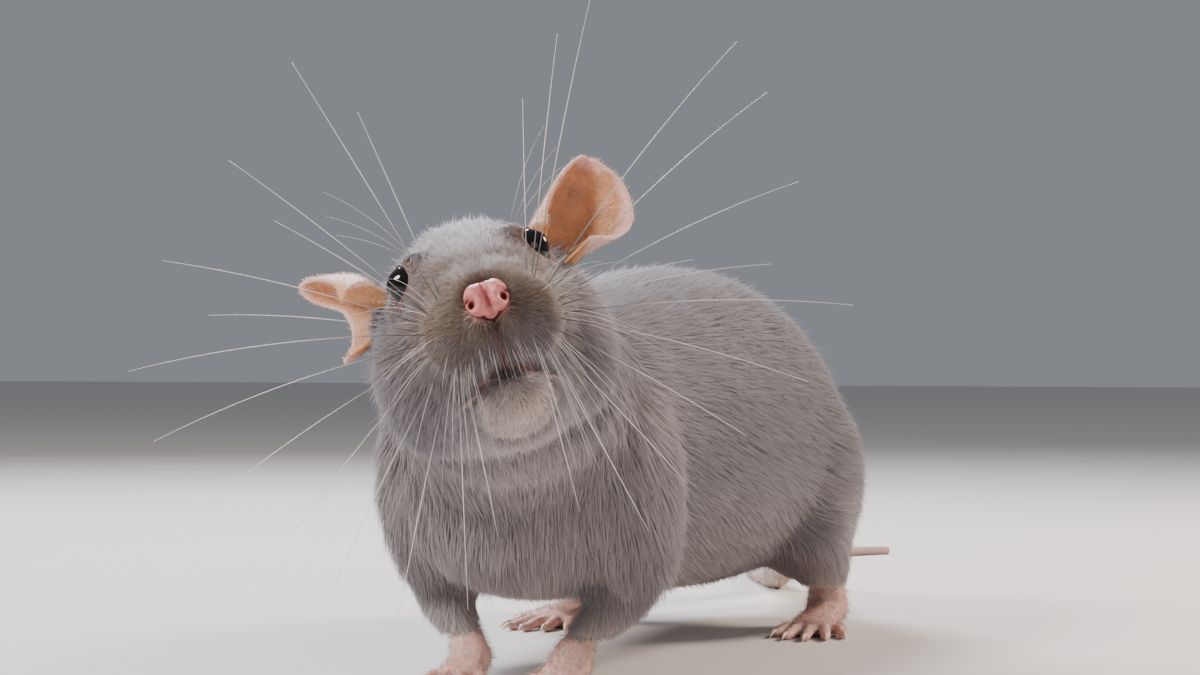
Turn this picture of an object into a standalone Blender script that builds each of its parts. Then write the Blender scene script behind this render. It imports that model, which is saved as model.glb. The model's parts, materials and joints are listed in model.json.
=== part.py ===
"""A life-size still model of a standing fancy rat that lifts its head and looks up.

The trunk, neck and head are modelled whole from lofted masses, melted into one smooth body and
parted with thin cuts. Limbs, paws, ears, eyes, nose and tail are solids of their own, each set
face to face on what it grows from. Lengths are in millimetres until they are placed.
The rat faces -Y, its left side is +X, and its soles are at Z = 0.
"""

import math

import bmesh
import bpy
from mathutils import Matrix, Vector

MM = 0.001
GAP = 0.3
VOXEL = 0.85
MELT_ROUNDS = 12
HEAD_SHARE = 0.040
BODY_SHARE = 0.012

# The head: where the midpoint between the eyes stands, and how the head is turned.
HEAD_PLACE = (6.5, -43.2, 71.2)
HEAD_YAW, HEAD_PITCH, HEAD_ROLL = 20.0, -14.5, -17.5

# Head stations in the head's own frame: y, top, widest height, bottom, half width.
HEAD_STATIONS = (
    (-21.6, -9.4, -12.0, -15.2, 2.6),
    (-20.0, -7.0, -12.6, -18.2, 5.0),
    (-17.4, -4.4, -13.4, -20.4, 7.6),
    (-14.0, -1.7, -14.0, -21.6, 9.6),
    (-10.0, 1.4, -13.8, -22.8, 11.4),
    (-5.0, 4.8, -13.4, -25.4, 13.4),
    (0.0, 7.6, -12.8, -27.6, 15.8),
    (6.0, 9.7, -12.0, -28.8, 18.4),
    (12.0, 10.5, -11.4, -29.0, 19.6),
    (18.0, 10.1, -11.0, -28.4, 19.6),
    (24.0, 8.6, -10.6, -27.4, 19.0),
)
# The lower jaw, in the same columns.
JAW_STATIONS = (
    (-15.4, -22.4, -24.0, -26.0, 2.2),
    (-13.8, -21.0, -24.0, -27.8, 4.6),
    (-11.0, -19.4, -23.4, -29.2, 7.0),
    (-6.0, -18.0, -22.4, -30.4, 10.2),
    (0.0, -16.0, -21.0, -30.8, 13.0),
    (7.0, -14.0, -19.0, -30.2, 15.0),
)
WHISKER_PAD = {"centre": (5.7, -15.6, -14.4), "radii": (5.4, 5.0, 6.6)}
BROW = {"centre": (8.0, -0.4, 3.0), "radii": (3.2, 5.6, 2.3)}
CHEEK = {"centre": (11.4, 7.0, -14.6), "radii": (8.6, 12.0, 12.6)}

# Where the head is parted along its own y.
NECK_CUT = 19.0
MUZZLE_CUT = -5.5

# The mouth line: its height in the middle, how far the lips fall to each side and to the back.
MOUTH_MIDDLE = -20.6
MOUTH_FALL = 2.6
MOUTH_HALF_WIDTH = 9.0
LIP_GROOVE = {"depth": 0.9, "reach": 1.2}
PHILTRUM = {"depth": 1.0, "reach": 1.3, "top": -13.6, "bottom": -21.0}

NOSE_LOBE = {"centre": (1.75, -21.1, -11.2), "radii": (2.15, 2.3, 3.0)}
NOSE_BRIDGE = {"centre": (0.0, -20.6, -9.8), "radii": (3.1, 2.3, 1.9)}
NOSE_STEM = {"centre": (0.0, -20.6, -13.4), "radii": (1.5, 1.9, 1.7)}
NOSE_VOXEL = 0.34
NOSE_SHARE = 0.04
NOSTRIL = {"centre": (2.75, -23.1, -11.9), "radii": (0.62, 2.2, 0.95)}
NOSTRIL_SLIT = {"centre": (3.75, -22.2, -11.3), "radii": (0.95, 1.6, 0.42)}

EYE_PLACE = (10.1, -0.9, -0.2)
EYE_RADIUS = 3.35
EYE_OUT = (0.88, -0.40, 0.26)
LID_OPEN = {"side": 64.0, "top": 52.0, "bottom": 54.0}
LID_RADIUS = 0.6
LID_SUNK = 0.1
EYE_HOLLOW = {"depth": 0.5, "reach": 6.0}

EAR_ROOT = (15.0, 12.6, 2.1)
EAR_LONG = 18.5
EAR_SUNK = 0.16
EAR_BOWL = 2.6
EAR_THICKNESS = 0.75
EAR_STEPS_ACROSS = 10
# Ear stations from root to tip: reach of the hind rim and of the fore rim, and how far each
# curls, in radians.
EAR_STATIONS = (
    (0.0, 6.4, 4.4, 1.9, 2.7),
    (0.2, 9.2, 4.3, 1.2, 2.4),
    (0.45, 10.6, 3.8, 0.8, 2.1),
    (0.7, 9.0, 3.0, 0.6, 1.8),
    (0.88, 6.0, 2.0, 0.5, 1.5),
    (1.0, 1.4, 0.8, 0.5, 1.2),
)
# How each ear is set, for a left ear: the way its tip points, its turn about that line, how much
# of its hind rim is folded away beyond its root, and how much wider its lobe is at the root.
EAR_POSE = {
    "left": ((0.57, 0.22, 0.79), 4.0, 0.0, 0.0),
    "right": ((0.61, 0.62, 0.49), -34.0, 0.75, 0.35),
}
# The stretches of an ear's length, as shares, over which its hind rim folds and its lobe ends.
EAR_FOLD = (-0.1, 0.62)
EAR_LOBE = (-0.05, 0.3)
# How far a widened lobe uncurls, as a share of its widening.
EAR_UNCURLED = 0.5

# Trunk stations along the row's own y: y, top, widest height, belly, half width.
TRUNK_STATIONS = (
    (-19.0, 55.0, 38.0, 24.0, 13.0),
    (-13.0, 61.0, 37.5, 17.5, 20.0),
    (-2.0, 66.5, 37.0, 14.0, 24.0),
    (16.0, 69.0, 36.0, 12.5, 26.0),
    (40.0, 71.5, 35.0, 10.8, 28.4),
    (66.0, 74.2, 34.5, 9.8, 30.8),
    (92.0, 74.6, 34.5, 9.6, 32.0),
    (112.0, 70.5, 34.0, 10.6, 31.0),
    (128.0, 60.5, 32.5, 13.0, 26.5),
    (140.0, 48.0, 31.0, 17.0, 18.0),
    (147.0, 38.0, 30.0, 22.0, 9.0),
)
# Neck: how far from the shoulders to the head, and the half width and half height there.
NECK_START = (0.0, 4.0, 43.0)
NECK_END = (0.0, 12.0, -9.5)
NECK_STATIONS = ((0.0, 23.5, 24.0), (0.35, 22.0, 22.0), (0.7, 20.6, 20.0), (1.0, 19.4, 19.0))

ABDOMEN_CUT = 44.0
RUMP_CUT = 76.0
NECK_BASE = (2.4, -14.5, 50.0)

# Limbs, for the left side; the right side is mirrored.
ARM = {"centre": (18.6, 3.0, 34.0), "radii": (9.6, 16.0, 21.0), "lean": 12.0}
ARM_REGION = {"centre": (25.5, 2.0, 30.0), "radii": (12.0, 16.5, 21.0), "lean": 12.0}
THIGH = {"centre": (22.0, 103.0, 31.0), "radii": (13.2, 24.0, 21.0), "lean": -12.0}
THIGH_REGION = {"centre": (33.0, 103.0, 28.0), "radii": (17.0, 25.5, 24.0), "lean": -12.0}

# Limb stations: x, y, z of the middle, half width and half depth. What lies within a sleeve of
# the named radius round the stations from the given one down is a node of its own.
FOREARM = (
    (20.6, 9.0, 28.0, 6.6, 8.0),
    (19.4, 7.0, 21.0, 6.8, 7.6),
    (16.2, 3.6, 14.0, 5.6, 6.0),
    (12.2, 0.4, 9.0, 4.3, 4.5),
    (9.9, -1.4, 4.5, 3.5, 3.5),
)
FOREARM_SLEEVE = ((20.5, 8.4, 21.5), (16.2, 3.6, 12.0), (9.8, -1.6, 0.0))
FOREARM_SLEEVE_RADIUS = 10.5
WRIST_HEIGHT = 7.0
FOREPAW_PLACE = (9.0, -2.4)
FOREPAW_TURN = -3.0
SHANK = (
    (27.5, 92.0, 26.0, 8.2, 12.0),
    (27.2, 99.0, 18.0, 7.2, 9.6),
    (26.2, 107.0, 11.0, 5.4, 6.2),
    (25.6, 111.5, 5.5, 4.0, 4.2),
)
SHANK_SLEEVE = ((27.2, 96.5, 20.5), (26.4, 103.5, 12.0), (25.6, 113.5, 0.0))
SHANK_SLEEVE_RADIUS = 12.5
ANKLE_HEIGHT = 8.6
HIND_FOOT_PLACE = (25.5, 112.0)
HIND_FOOT_TURN = -7.0

# Paws in their own frame: the palm's y, middle height, half width and half height.
FOREPAW = {
    "palm": ((1.6, 5.6, 3.6, 3.4), (-0.6, 3.4, 3.7, 3.3), (-3.4, 2.4, 4.1, 2.4), (-5.8, 1.9, 3.8, 1.8)),
    "spread": 2.5,
    "knuckle": -5.0,
    "digits": (4.6, 6.0, 6.2, 4.9),
    "fan": 13.0,
    "radius": 1.15,
    "claw": 1.5,
    "stub": ((0.2, 0.2), (1.9, 2.2), 9.0, 3.9),
}
HIND_FOOT = {
    "palm": (
        (4.6, 3.2, 3.3, 3.1),
        (1.0, 3.6, 3.9, 3.5),
        (-6.0, 3.0, 3.9, 2.9),
        (-15.0, 2.6, 4.4, 2.4),
        (-23.0, 2.2, 5.0, 2.0),
    ),
    "spread": 2.25,
    "knuckle": -21.5,
    "digits": (6.8, 10.6, 11.4, 10.6, 7.4),
    "fan": 9.0,
    "radius": 1.35,
    "claw": 2.0,
    "stub": ((0.0, 0.4), (0.2, -1.6), 10.5, 4.6),
}
PAW_SUNK = 0.4
PAW_SIDES = 8
DIGIT_SIDES = 6
LIMB_SIDES = 16

# Tail: it leaves the rump, comes down to the floor and lies on it in two easy bends.
TAIL_ROOT = (0.0, 141.0, 28.0)
TAIL_LENGTH = 190.0
TAIL_ROOT_RADIUS, TAIL_TIP_RADIUS = 5.2, 1.2
TAIL_DROP_END = 0.36
TAIL_BENDS = (-30.0, 62.0)
TAIL_PARTS = ("tail_base", "tail_front", "tail_middle", "tail_tip")
TAIL_STEPS = 40
TAIL_SIDES = 10
TAIL_FLAT = 0.88

# Whiskers: for each, its angle above the level in the head's frame and its length.
WHISKERS = {
    "right": (
        (77, 50), (84, 38), (57, 45), (51, 32), (34, 46), (25, 37), (13, 49),
        (0, 47), (-16, 50), (-34, 47), (-47, 46), (-61, 45), (-75, 40), (-84, 29),
    ),
    "left": (
        (62, 52), (67, 45), (74, 34), (37, 55), (28, 52), (12, 47), (3, 25),
        (-3, 37), (-13, 49), (-30, 42), (-46, 36), (-64, 33), (-79, 36), (-93, 29),
    ),
}
WHISKER_RADIUS = 0.33
WHISKER_TIP_RADIUS = 0.12
WHISKER_SIDES = 3
WHISKER_STEPS = 5
WHISKER_SWEEP = 0.16
WHISKER_BEND = 0.10

FUR = (0.36, 0.35, 0.37)
FACE_FUR = (0.40, 0.35, 0.33)
SKIN = (0.68, 0.42, 0.38)
NOSE_SKIN = (0.74, 0.36, 0.35)
EYE_BLACK = (0.012, 0.010, 0.012)
FINISHES = {
    "muzzle": (FACE_FUR, 0.85),
    "nose": (NOSE_SKIN, 0.45),
    "eye": (EYE_BLACK, 0.08),
    "ear": (SKIN, 0.6),
    "forepaw": (SKIN, 0.6),
    "hind_foot": (SKIN, 0.6),
    "tail": (SKIN, 0.65),
}


def finish(obj, colour, roughness):
    """Gives an object a Principled finish of its own."""
    made = bpy.data.materials.new(f"{obj.name}_finish")
    made.use_nodes = True
    shader = made.node_tree.nodes["Principled BSDF"]
    shader.inputs["Base Color"].default_value = (*colour, 1.0)
    shader.inputs["Roughness"].default_value = roughness
    obj.data.materials.clear()
    obj.data.materials.append(made)


def clear_scene():
    """Removes the objects of the startup scene."""
    for left in list(bpy.data.objects):
        bpy.data.objects.remove(left)


def add_object(name, mesh):
    """Links a mesh to the scene as an object."""
    made = bpy.data.objects.new(name, mesh)
    bpy.context.scene.collection.objects.link(made)
    return made


def mesh_from(bm, name):
    """Turns a bmesh into a mesh with its faces pointing out."""
    bmesh.ops.recalc_face_normals(bm, faces=bm.faces)
    mesh = bpy.data.meshes.new(name)
    bm.to_mesh(mesh)
    bm.free()
    return mesh


def evaluated_copy(obj, name):
    """The mesh that an object's modifiers give, as a mesh of its own."""
    graph = bpy.context.evaluated_depsgraph_get()
    mesh = bpy.data.meshes.new_from_object(obj.evaluated_get(graph))
    mesh.name = name
    return mesh


def turned(yaw, pitch, roll):
    """A turn about z, then x, then y, in degrees."""
    return (
        Matrix.Rotation(math.radians(yaw), 4, "Z")
        @ Matrix.Rotation(math.radians(pitch), 4, "X")
        @ Matrix.Rotation(math.radians(roll), 4, "Y")
    )


ROW = Matrix.Scale(MM, 4)
HEAD = ROW @ Matrix.Translation(HEAD_PLACE) @ turned(HEAD_YAW, HEAD_PITCH, HEAD_ROLL)


def smooth_rows(rows, steps):
    """Rows read from a smooth curve through the given rows, with this many steps between each two."""
    out = []
    for i in range(len(rows) - 1):
        before = rows[max(i - 1, 0)]
        after = rows[min(i + 2, len(rows) - 1)]
        for step in range(steps):
            out.append(between(before, rows[i], rows[i + 1], after, step / steps))
    out.append(tuple(rows[-1]))
    return out


def between(before, start, end, after, t):
    """A row between start and end on the smooth curve through the four."""
    return tuple(
        0.5 * (2 * b + (c - a) * t + (2 * a - 5 * b + 4 * c - d) * t**2 + (3 * b - a - 3 * c + d) * t**3)
        for a, b, c, d in zip(before, start, end, after)
    )


def loft(rings, name):
    """A closed solid through rings of points, each ring with the same number of points."""
    bm = bmesh.new()
    loops = []
    for ring in rings:
        verts = [bm.verts.new(point) for point in ring]
        loops.append([bm.edges.new((verts[i - 1], verts[i])) for i in range(len(verts))])
    for one, other in zip(loops, loops[1:]):
        bmesh.ops.bridge_loops(bm, edges=one + other)
    for loop in (loops[0], loops[-1]):
        bmesh.ops.contextual_create(bm, geom=loop)
    return mesh_from(bm, name)


def egg_ring(y, top, widest, bottom, half_width, sides):
    """An upright egg-shaped section: its widest place may be nearer the bottom than the top."""
    ring = []
    for i in range(sides):
        angle = 2 * math.pi * i / sides
        reach = top - widest if math.sin(angle) > 0 else widest - bottom
        ring.append(Vector((half_width * math.cos(angle), y, widest + reach * math.sin(angle))))
    return ring


def station_loft(stations, name, frame, sides=32, steps=3):
    """A loft through upright egg-shaped stations, placed by a frame."""
    rings = [
        [frame @ point for point in egg_ring(*row, sides)] for row in smooth_rows(stations, steps)
    ]
    return add_object(name, loft(rings, name))


def path_frames(points):
    """For each point of a path, two directions square to the path that don't twist along it."""
    frames = []
    side = None
    for i, point in enumerate(points):
        ahead = points[min(i + 1, len(points) - 1)] - points[max(i - 1, 0)]
        ahead.normalize()
        if side is None:
            side = Vector((1, 0, 0)) if abs(ahead.x) < 0.8 else Vector((0, 1, 0))
        side = (side - ahead * side.dot(ahead)).normalized()
        frames.append((point, side, ahead.cross(side)))
    return frames


def section(frame, wide, high, sides):
    """A ring round one point of a path."""
    centre, side, up = frame
    return [
        centre
        + side * wide * math.cos(2 * math.pi * i / sides)
        + up * high * math.sin(2 * math.pi * i / sides)
        for i in range(sides)
    ]


def tube(points, sizes, name, sides=12, frame=ROW, domed=0.6):
    """A solid along a path. Each size is a half width and a half height. The ends are domed."""
    points = [Vector(p) for p in points]
    frames = path_frames(points)
    rings = [section(f, *size, sides) for f, size in zip(frames, sizes)]
    if domed:
        for end, beside in ((0, 1), (-1, -2)):
            out = (points[end] - points[beside]).normalized() * min(sizes[end]) * domed
            centre, side, up = frames[end]
            ring = section((centre + out, side, up), sizes[end][0] / 2, sizes[end][1] / 2, sides)
            rings.insert(0 if end == 0 else len(rings), ring)
    mesh = loft(rings, name)
    mesh.transform(frame)
    return add_object(name, mesh)


def ball(centre, radii, name, frame=ROW, lean=0.0, finer=3):
    """An ellipsoid, leaned about its x axis by some degrees."""
    bm = bmesh.new()
    bmesh.ops.create_icosphere(bm, subdivisions=finer, radius=1.0)
    place = (
        frame
        @ Matrix.Translation(centre)
        @ Matrix.Rotation(math.radians(lean), 4, "X")
        @ Matrix.Diagonal((*radii, 1.0))
    )
    bmesh.ops.transform(bm, matrix=place, verts=bm.verts)
    return add_object(name, mesh_from(bm, name))


def mirrored(place, side):
    """A place given for the left side, on the left (1) or the right (-1)."""
    return (place[0] * side, *place[1:])


SIDES = ((1, "left"), (-1, "right"))


def joined(objects, name):
    """One mesh that holds the meshes of several objects, which are removed."""
    bm = bmesh.new()
    for obj in objects:
        bm.from_mesh(obj.data)
        bpy.data.objects.remove(obj)
    mesh = bpy.data.meshes.new(name)
    bm.to_mesh(mesh)
    bm.free()
    return mesh


def melted(objects, name, voxel, rounds):
    """The objects fused into one smooth closed body."""
    obj = add_object(name, joined(objects, name))
    remesh = obj.modifiers.new("melt", "REMESH")
    remesh.mode = "VOXEL"
    remesh.voxel_size = voxel * MM
    relax = obj.modifiers.new("relax", "SMOOTH")
    relax.factor = 0.5
    relax.iterations = rounds
    mesh = evaluated_copy(obj, name)
    bpy.data.objects.remove(obj)
    return mesh


def thinned(mesh, share, name):
    """The same surface with a share of its triangles."""
    obj = add_object(name, mesh.copy())
    fewer = obj.modifiers.new("thin", "DECIMATE")
    fewer.ratio = share
    fewer.use_collapse_triangulate = True
    thin = evaluated_copy(obj, name)
    bpy.data.objects.remove(obj)
    return thin


def pressed(mesh, frame, nearness, depth):
    """Presses a mesh in along its normals, deepest where nearness is 1 and not at all where it is 0."""
    inverse = frame.inverted()
    moves = []
    for vert in mesh.vertices:
        share = nearness(inverse @ vert.co)
        if share > 0:
            moves.append((vert, vert.normal * depth * MM * share))
    for vert, move in moves:
        vert.co -= move


def falloff(distance, reach):
    """1 at no distance and 0 from reach on, with a smooth fall."""
    share = max(0.0, 1.0 - distance / reach)
    return share * share * (3 - 2 * share)


def largest_body(bm):
    """Deletes all but the body that spans the most."""
    unseen = set(bm.verts)
    bodies = []
    while unseen:
        start = unseen.pop()
        body, front = {start}, [start]
        while front:
            for edge in front.pop().link_edges:
                for vert in edge.verts:
                    if vert in unseen:
                        unseen.remove(vert)
                        body.add(vert)
                        front.append(vert)
        bodies.append(body)
    if len(bodies) > 1:
        keep = max(bodies, key=volume_of)
        bmesh.ops.delete(bm, geom=[v for v in bm.verts if v not in keep], context="VERTS")


def volume_of(verts):
    """The volume that the triangles on some vertices enclose."""
    faces = {face for vert in verts for face in vert.link_faces}
    total = 0.0
    for face in faces:
        one, *rest = (vert.co for vert in face.verts)
        for two, three in zip(rest, rest[1:]):
            total += one.dot(two.cross(three)) / 6
    return abs(total)


def cut_off(bm, point, away):
    """Cuts off what lies past a plane on the side that away points to, and closes the cut."""
    cut = bmesh.ops.bisect_plane(
        bm,
        geom=bm.verts[:] + bm.edges[:] + bm.faces[:],
        plane_co=point,
        plane_no=away,
        clear_outer=True,
    )
    rim = [e for e in cut["geom_cut"] if isinstance(e, bmesh.types.BMEdge) and e.is_boundary]
    if rim:
        bmesh.ops.triangle_fill(bm, edges=rim, use_beauty=True, use_dissolve=False)


def cell_of(mesh, planes, name):
    """The part of a closed mesh inside some planes, each a point and the direction it cuts off."""
    bm = bmesh.new()
    bm.from_mesh(mesh)
    for point, away in planes:
        cut_off(bm, point, away)
    largest_body(bm)
    return add_object(name, mesh_from(bm, name))


def plane(frame, place, away, gap=GAP / 2):
    """A cutting plane in a frame, set back by half a gap on the kept side."""
    normal = frame.to_3x3().normalized() @ Vector(away).normalized()
    return (frame @ Vector(place) - normal * gap * MM, normal)


def grown(obj, by=GAP):
    """A copy of an object whose surface is pushed out, to cut clear of it."""
    copy = copy_of(obj, f"{obj.name}_grown")
    push = copy.modifiers.new("push", "DISPLACE")
    push.strength = by * MM
    push.mid_level = 0.0
    mesh = evaluated_copy(copy, copy.name)
    copy.modifiers.clear()
    copy.data = mesh
    return copy


def boolean(obj, others, operation):
    """Joins the others to an object, cuts them from it or keeps what they share, and removes them."""
    tools = bpy.data.collections.new("tools")
    for other in others:
        tools.objects.link(other)
    step = obj.modifiers.new("shape", "BOOLEAN")
    step.operation = operation
    step.solver = "EXACT"
    step.operand_type = "COLLECTION"
    step.collection = tools
    mesh = evaluated_copy(obj, obj.name)
    obj.modifiers.clear()
    obj.data = mesh
    for other in others:
        bpy.data.objects.remove(other)
    bpy.data.collections.remove(tools)
    keep_largest(obj)
    return obj


def keep_largest(obj):
    """Keeps the largest body of an object, in triangles."""
    bm = bmesh.new()
    bm.from_mesh(obj.data)
    largest_body(bm)
    bmesh.ops.triangulate(bm, faces=bm.faces)
    bm.to_mesh(obj.data)
    bm.free()


def copy_of(obj, name):
    """A separate copy of an object."""
    return add_object(name, obj.data.copy())


def flesh_master():
    """The whole trunk, neck and head as one smooth body."""
    pieces = [
        station_loft(TRUNK_STATIONS, "trunk", ROW),
        station_loft(HEAD_STATIONS, "skull", HEAD),
        station_loft(JAW_STATIONS, "jaw", HEAD),
        neck_mass(),
    ]
    for side, word in SIDES:
        for mass in (WHISKER_PAD, BROW, CHEEK):
            pieces.append(ball(mirrored(mass["centre"], side), mass["radii"], "mass", HEAD))
        for mass in (ARM, THIGH):
            pieces.append(
                ball(mirrored(mass["centre"], side), mass["radii"], "mass", ROW, mass["lean"])
            )
        for limb in (FOREARM, SHANK):
            rows = smooth_rows(limb, 3)
            points = [mirrored(row[:3], side) for row in rows]
            pieces.append(tube(points, [row[3:] for row in rows], "limb", LIMB_SIDES))
    flesh = melted(pieces, "flesh", VOXEL, MELT_ROUNDS)
    pressed(flesh, HEAD, near_eye, EYE_HOLLOW["depth"])
    pressed(flesh, HEAD, near_mouth, LIP_GROOVE["depth"])
    pressed(flesh, HEAD, near_philtrum, PHILTRUM["depth"])
    return flesh


def near_eye(place):
    """How near a place in the head's frame is to an eye."""
    x, y, z = place
    out = Vector((abs(x), y, z)) - Vector(EYE_PLACE)
    return falloff(out.length, EYE_HOLLOW["reach"])


def mouth_height(x):
    """The height of the mouth line at some distance from the middle: the lips fall to each side."""
    return MOUTH_MIDDLE - MOUTH_FALL * min(1.0, abs(x) / MOUTH_HALF_WIDTH) ** 1.3


def near_mouth(place):
    """How near a place in the head's frame is to the line of the mouth."""
    x, y, z = place
    fade = falloff(max(0.0, y + 12.0), 5.0)
    return falloff(abs(z - mouth_height(x)), LIP_GROOVE["reach"]) * fade


def near_philtrum(place):
    """How near a place in the head's frame is to the furrow from the nose down to the lips."""
    x, y, z = place
    if y > -12.0:
        return 0.0
    past = max(0.0, z - PHILTRUM["top"], PHILTRUM["bottom"] - z)
    return falloff(math.hypot(x, past), PHILTRUM["reach"])


def neck_mass():
    """The thick neck between the shoulders and the back of the head."""
    start = Vector(NECK_START)
    end = (HEAD @ Vector(NECK_END)) / MM
    rows = smooth_rows(NECK_STATIONS, 3)
    points = [start.lerp(end, row[0]) for row in rows]
    return tube(points, [row[1:] for row in rows], "neck_mass", sides=28)


def trunk_nodes(body):
    """Neck, chest, abdomen, rump, upper arms and thighs, parted from the body with thin cuts."""
    down_neck = Vector(NECK_START) - (HEAD @ Vector(NECK_END)) / MM
    front, middle, back = (0, -1, 0), (0, 1, 0), (0, 1, 0)
    neck = cell_of(
        body,
        [plane(HEAD, (0, NECK_CUT, 0), front), plane(ROW, NECK_BASE, down_neck)],
        "neck",
    )
    chest = cell_of(
        body,
        [plane(ROW, NECK_BASE, -down_neck), plane(ROW, (0, ABDOMEN_CUT, 0), middle)],
        "chest",
    )
    abdomen = cell_of(
        body,
        [plane(ROW, (0, ABDOMEN_CUT, 0), front), plane(ROW, (0, RUMP_CUT, 0), back)],
        "abdomen",
    )
    rump = cell_of(body, [plane(ROW, (0, RUMP_CUT, 0), front)], "rump")
    nodes = {"neck": neck, "chest": chest, "abdomen": abdomen, "rump": rump}
    parting = (
        (chest, "upper_arm", ARM_REGION, "forearm", FOREARM_SLEEVE, FOREARM_SLEEVE_RADIUS, WRIST_HEIGHT),
        (rump, "thigh", THIGH_REGION, "shank", SHANK_SLEEVE, SHANK_SLEEVE_RADIUS, ANKLE_HEIGHT),
    )
    for whole, high_name, region, low_name, path, radius, floor in parting:
        cutters = []
        for side, word in SIDES:
            sleeve = (path, radius, side)
            low = boolean(copy_of(whole, "low"), [sleeve_tube(*sleeve, 0.0)], "INTERSECT")
            name = f"{low_name}_{word}"
            nodes[name] = cell_of(low.data, [plane(ROW, (0, 0, floor), (0, 0, -1))], name)
            bpy.data.objects.remove(low)
            high = copy_of(whole, f"{high_name}_{word}")
            boolean(high, [region_ball(region, side, 0.0)], "INTERSECT")
            nodes[high.name] = boolean(high, [sleeve_tube(*sleeve, GAP)], "DIFFERENCE")
            cutters += [region_ball(region, side, GAP), sleeve_tube(*sleeve, GAP)]
        boolean(whole, cutters, "DIFFERENCE")
    return nodes


def sleeve_tube(path, radius, side, gap):
    """The sleeve that parts a forearm or shank from what it grows from, on one side."""
    points = [mirrored(point, side) for point in path]
    return tube(points, [(radius + gap, radius + gap)] * len(path), "sleeve", 14, ROW, 0.5)


def region_ball(region, side, gap):
    """The ellipsoid that parts a limb from the trunk, on one side."""
    radii = tuple(radius + gap for radius in region["radii"])
    return ball(mirrored(region["centre"], side), radii, "region", ROW, region["lean"])


def mouth_region(gap):
    """What lies below the mouth line, as a solid whose roof follows the lips."""
    rings = []
    columns = [MOUTH_HALF_WIDTH * 2.4 * (i / 8 - 1) for i in range(17)]
    for y in (-30.0, MUZZLE_CUT - GAP / 2):
        roof = [Vector((x, y, mouth_height(x) + gap)) for x in columns]
        floor = [Vector((x, y, -45.0)) for x in reversed(columns)]
        rings.append([HEAD @ point for point in roof + floor])
    return add_object("mouth_region", loft(rings, "mouth_region"))


def head_nodes(head):
    """Head, muzzle and lower jaw, with sockets for eyes and nose and a ring of lid round each eye."""
    nose, nose_socket = nose_node()
    cranium = cell_of(
        head,
        [plane(HEAD, (0, NECK_CUT, 0), (0, 1, 0)), plane(HEAD, (0, MUZZLE_CUT, 0), (0, -1, 0))],
        "head",
    )
    front = cell_of(head, [plane(HEAD, (0, MUZZLE_CUT, 0), (0, 1, 0))], "muzzle")
    jaw = boolean(copy_of(front, "lower_jaw"), [mouth_region(0.0)], "INTERSECT")
    boolean(front, [mouth_region(GAP)], "DIFFERENCE")
    boolean(front, whiskers(), "UNION")
    boolean(front, [nose_socket], "DIFFERENCE")
    nodes = {"head": cranium, "muzzle": front, "lower_jaw": jaw, "nose": nose}
    boolean(cranium, [lid_ring(side) for side, word in SIDES], "UNION")
    sockets = []
    for side, word in SIDES:
        place = mirrored(EYE_PLACE, side)
        nodes[f"eye_{word}"] = ball(place, [EYE_RADIUS] * 3, f"eye_{word}", HEAD)
        sockets.append(ball(place, [EYE_RADIUS + GAP] * 3, "socket", HEAD))
    boolean(cranium, sockets, "DIFFERENCE")
    return nodes


def lid_ring(side):
    """The lids of one eye: a rim that lies on the eyeball, wider at its corners than over its top."""
    out = Vector(mirrored(EYE_OUT, side)).normalized()
    up = (Vector((0, 0, 1)) - out * out.z).normalized()
    ahead = up.cross(out)
    steps, sides = 16, 5
    reach = EYE_RADIUS + GAP + LID_RADIUS * LID_SUNK
    rings = []
    for i in range(steps):
        angle = 2 * math.pi * i / steps
        tall = LID_OPEN["top"] if math.sin(angle) > 0 else LID_OPEN["bottom"]
        opening = math.radians(tall + (LID_OPEN["side"] - tall) * math.cos(angle) ** 4)
        across = ahead * math.cos(angle) + up * math.sin(angle)
        spoke = out * math.cos(opening) + across * math.sin(opening)
        centre = Vector(mirrored(EYE_PLACE, side)) + spoke * reach
        rim = out * -math.sin(opening) + across * math.cos(opening)
        rings.append(
            [
                HEAD @ (centre + (spoke * math.cos(turn) + rim * math.sin(turn)) * LID_RADIUS)
                for turn in (2 * math.pi * k / sides for k in range(sides))
            ]
        )
    return add_object("lid", closed_loft(rings, "lid"))


def closed_loft(rings, name):
    """A solid ring through rings of points, the last joined to the first."""
    bm = bmesh.new()
    verts = [[bm.verts.new(point) for point in ring] for ring in rings]
    for i in range(len(verts)):
        for k in range(len(verts[i])):
            one, other = verts[i - 1], verts[i]
            bm.faces.new((one[k - 1], one[k], other[k], other[k - 1]))
    return mesh_from(bm, name)


def nose_node():
    """The bare nose pad, of two lobes with a nostril each, and the solid that cuts its seat."""
    masses = [ball(NOSE_BRIDGE["centre"], NOSE_BRIDGE["radii"], "nose_mass", HEAD)]
    masses.append(ball(NOSE_STEM["centre"], NOSE_STEM["radii"], "nose_mass", HEAD))
    for side, word in SIDES:
        masses.append(ball(mirrored(NOSE_LOBE["centre"], side), NOSE_LOBE["radii"], "m", HEAD))
    solid = melted(masses, "nose_solid", NOSE_VOXEL, 3)
    nose = add_object("nose", thinned(solid, NOSE_SHARE, "nose"))
    seat = grown(nose)
    cutters = []
    for side, word in SIDES:
        for mass in (NOSTRIL, NOSTRIL_SLIT):
            cutters.append(ball(mirrored(mass["centre"], side), mass["radii"], "nostril", HEAD, 0.0, 1))
    return boolean(nose, cutters, "DIFFERENCE"), seat


def whiskers():
    """The long whiskers of both pads, each a thin tapered spine rooted well inside its pad."""
    made = []
    for side, word in SIDES:
        for i, (angle, length) in enumerate(WHISKERS[word]):
            made.append(whisker(side, i, math.radians(angle), length))
    return made


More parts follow.
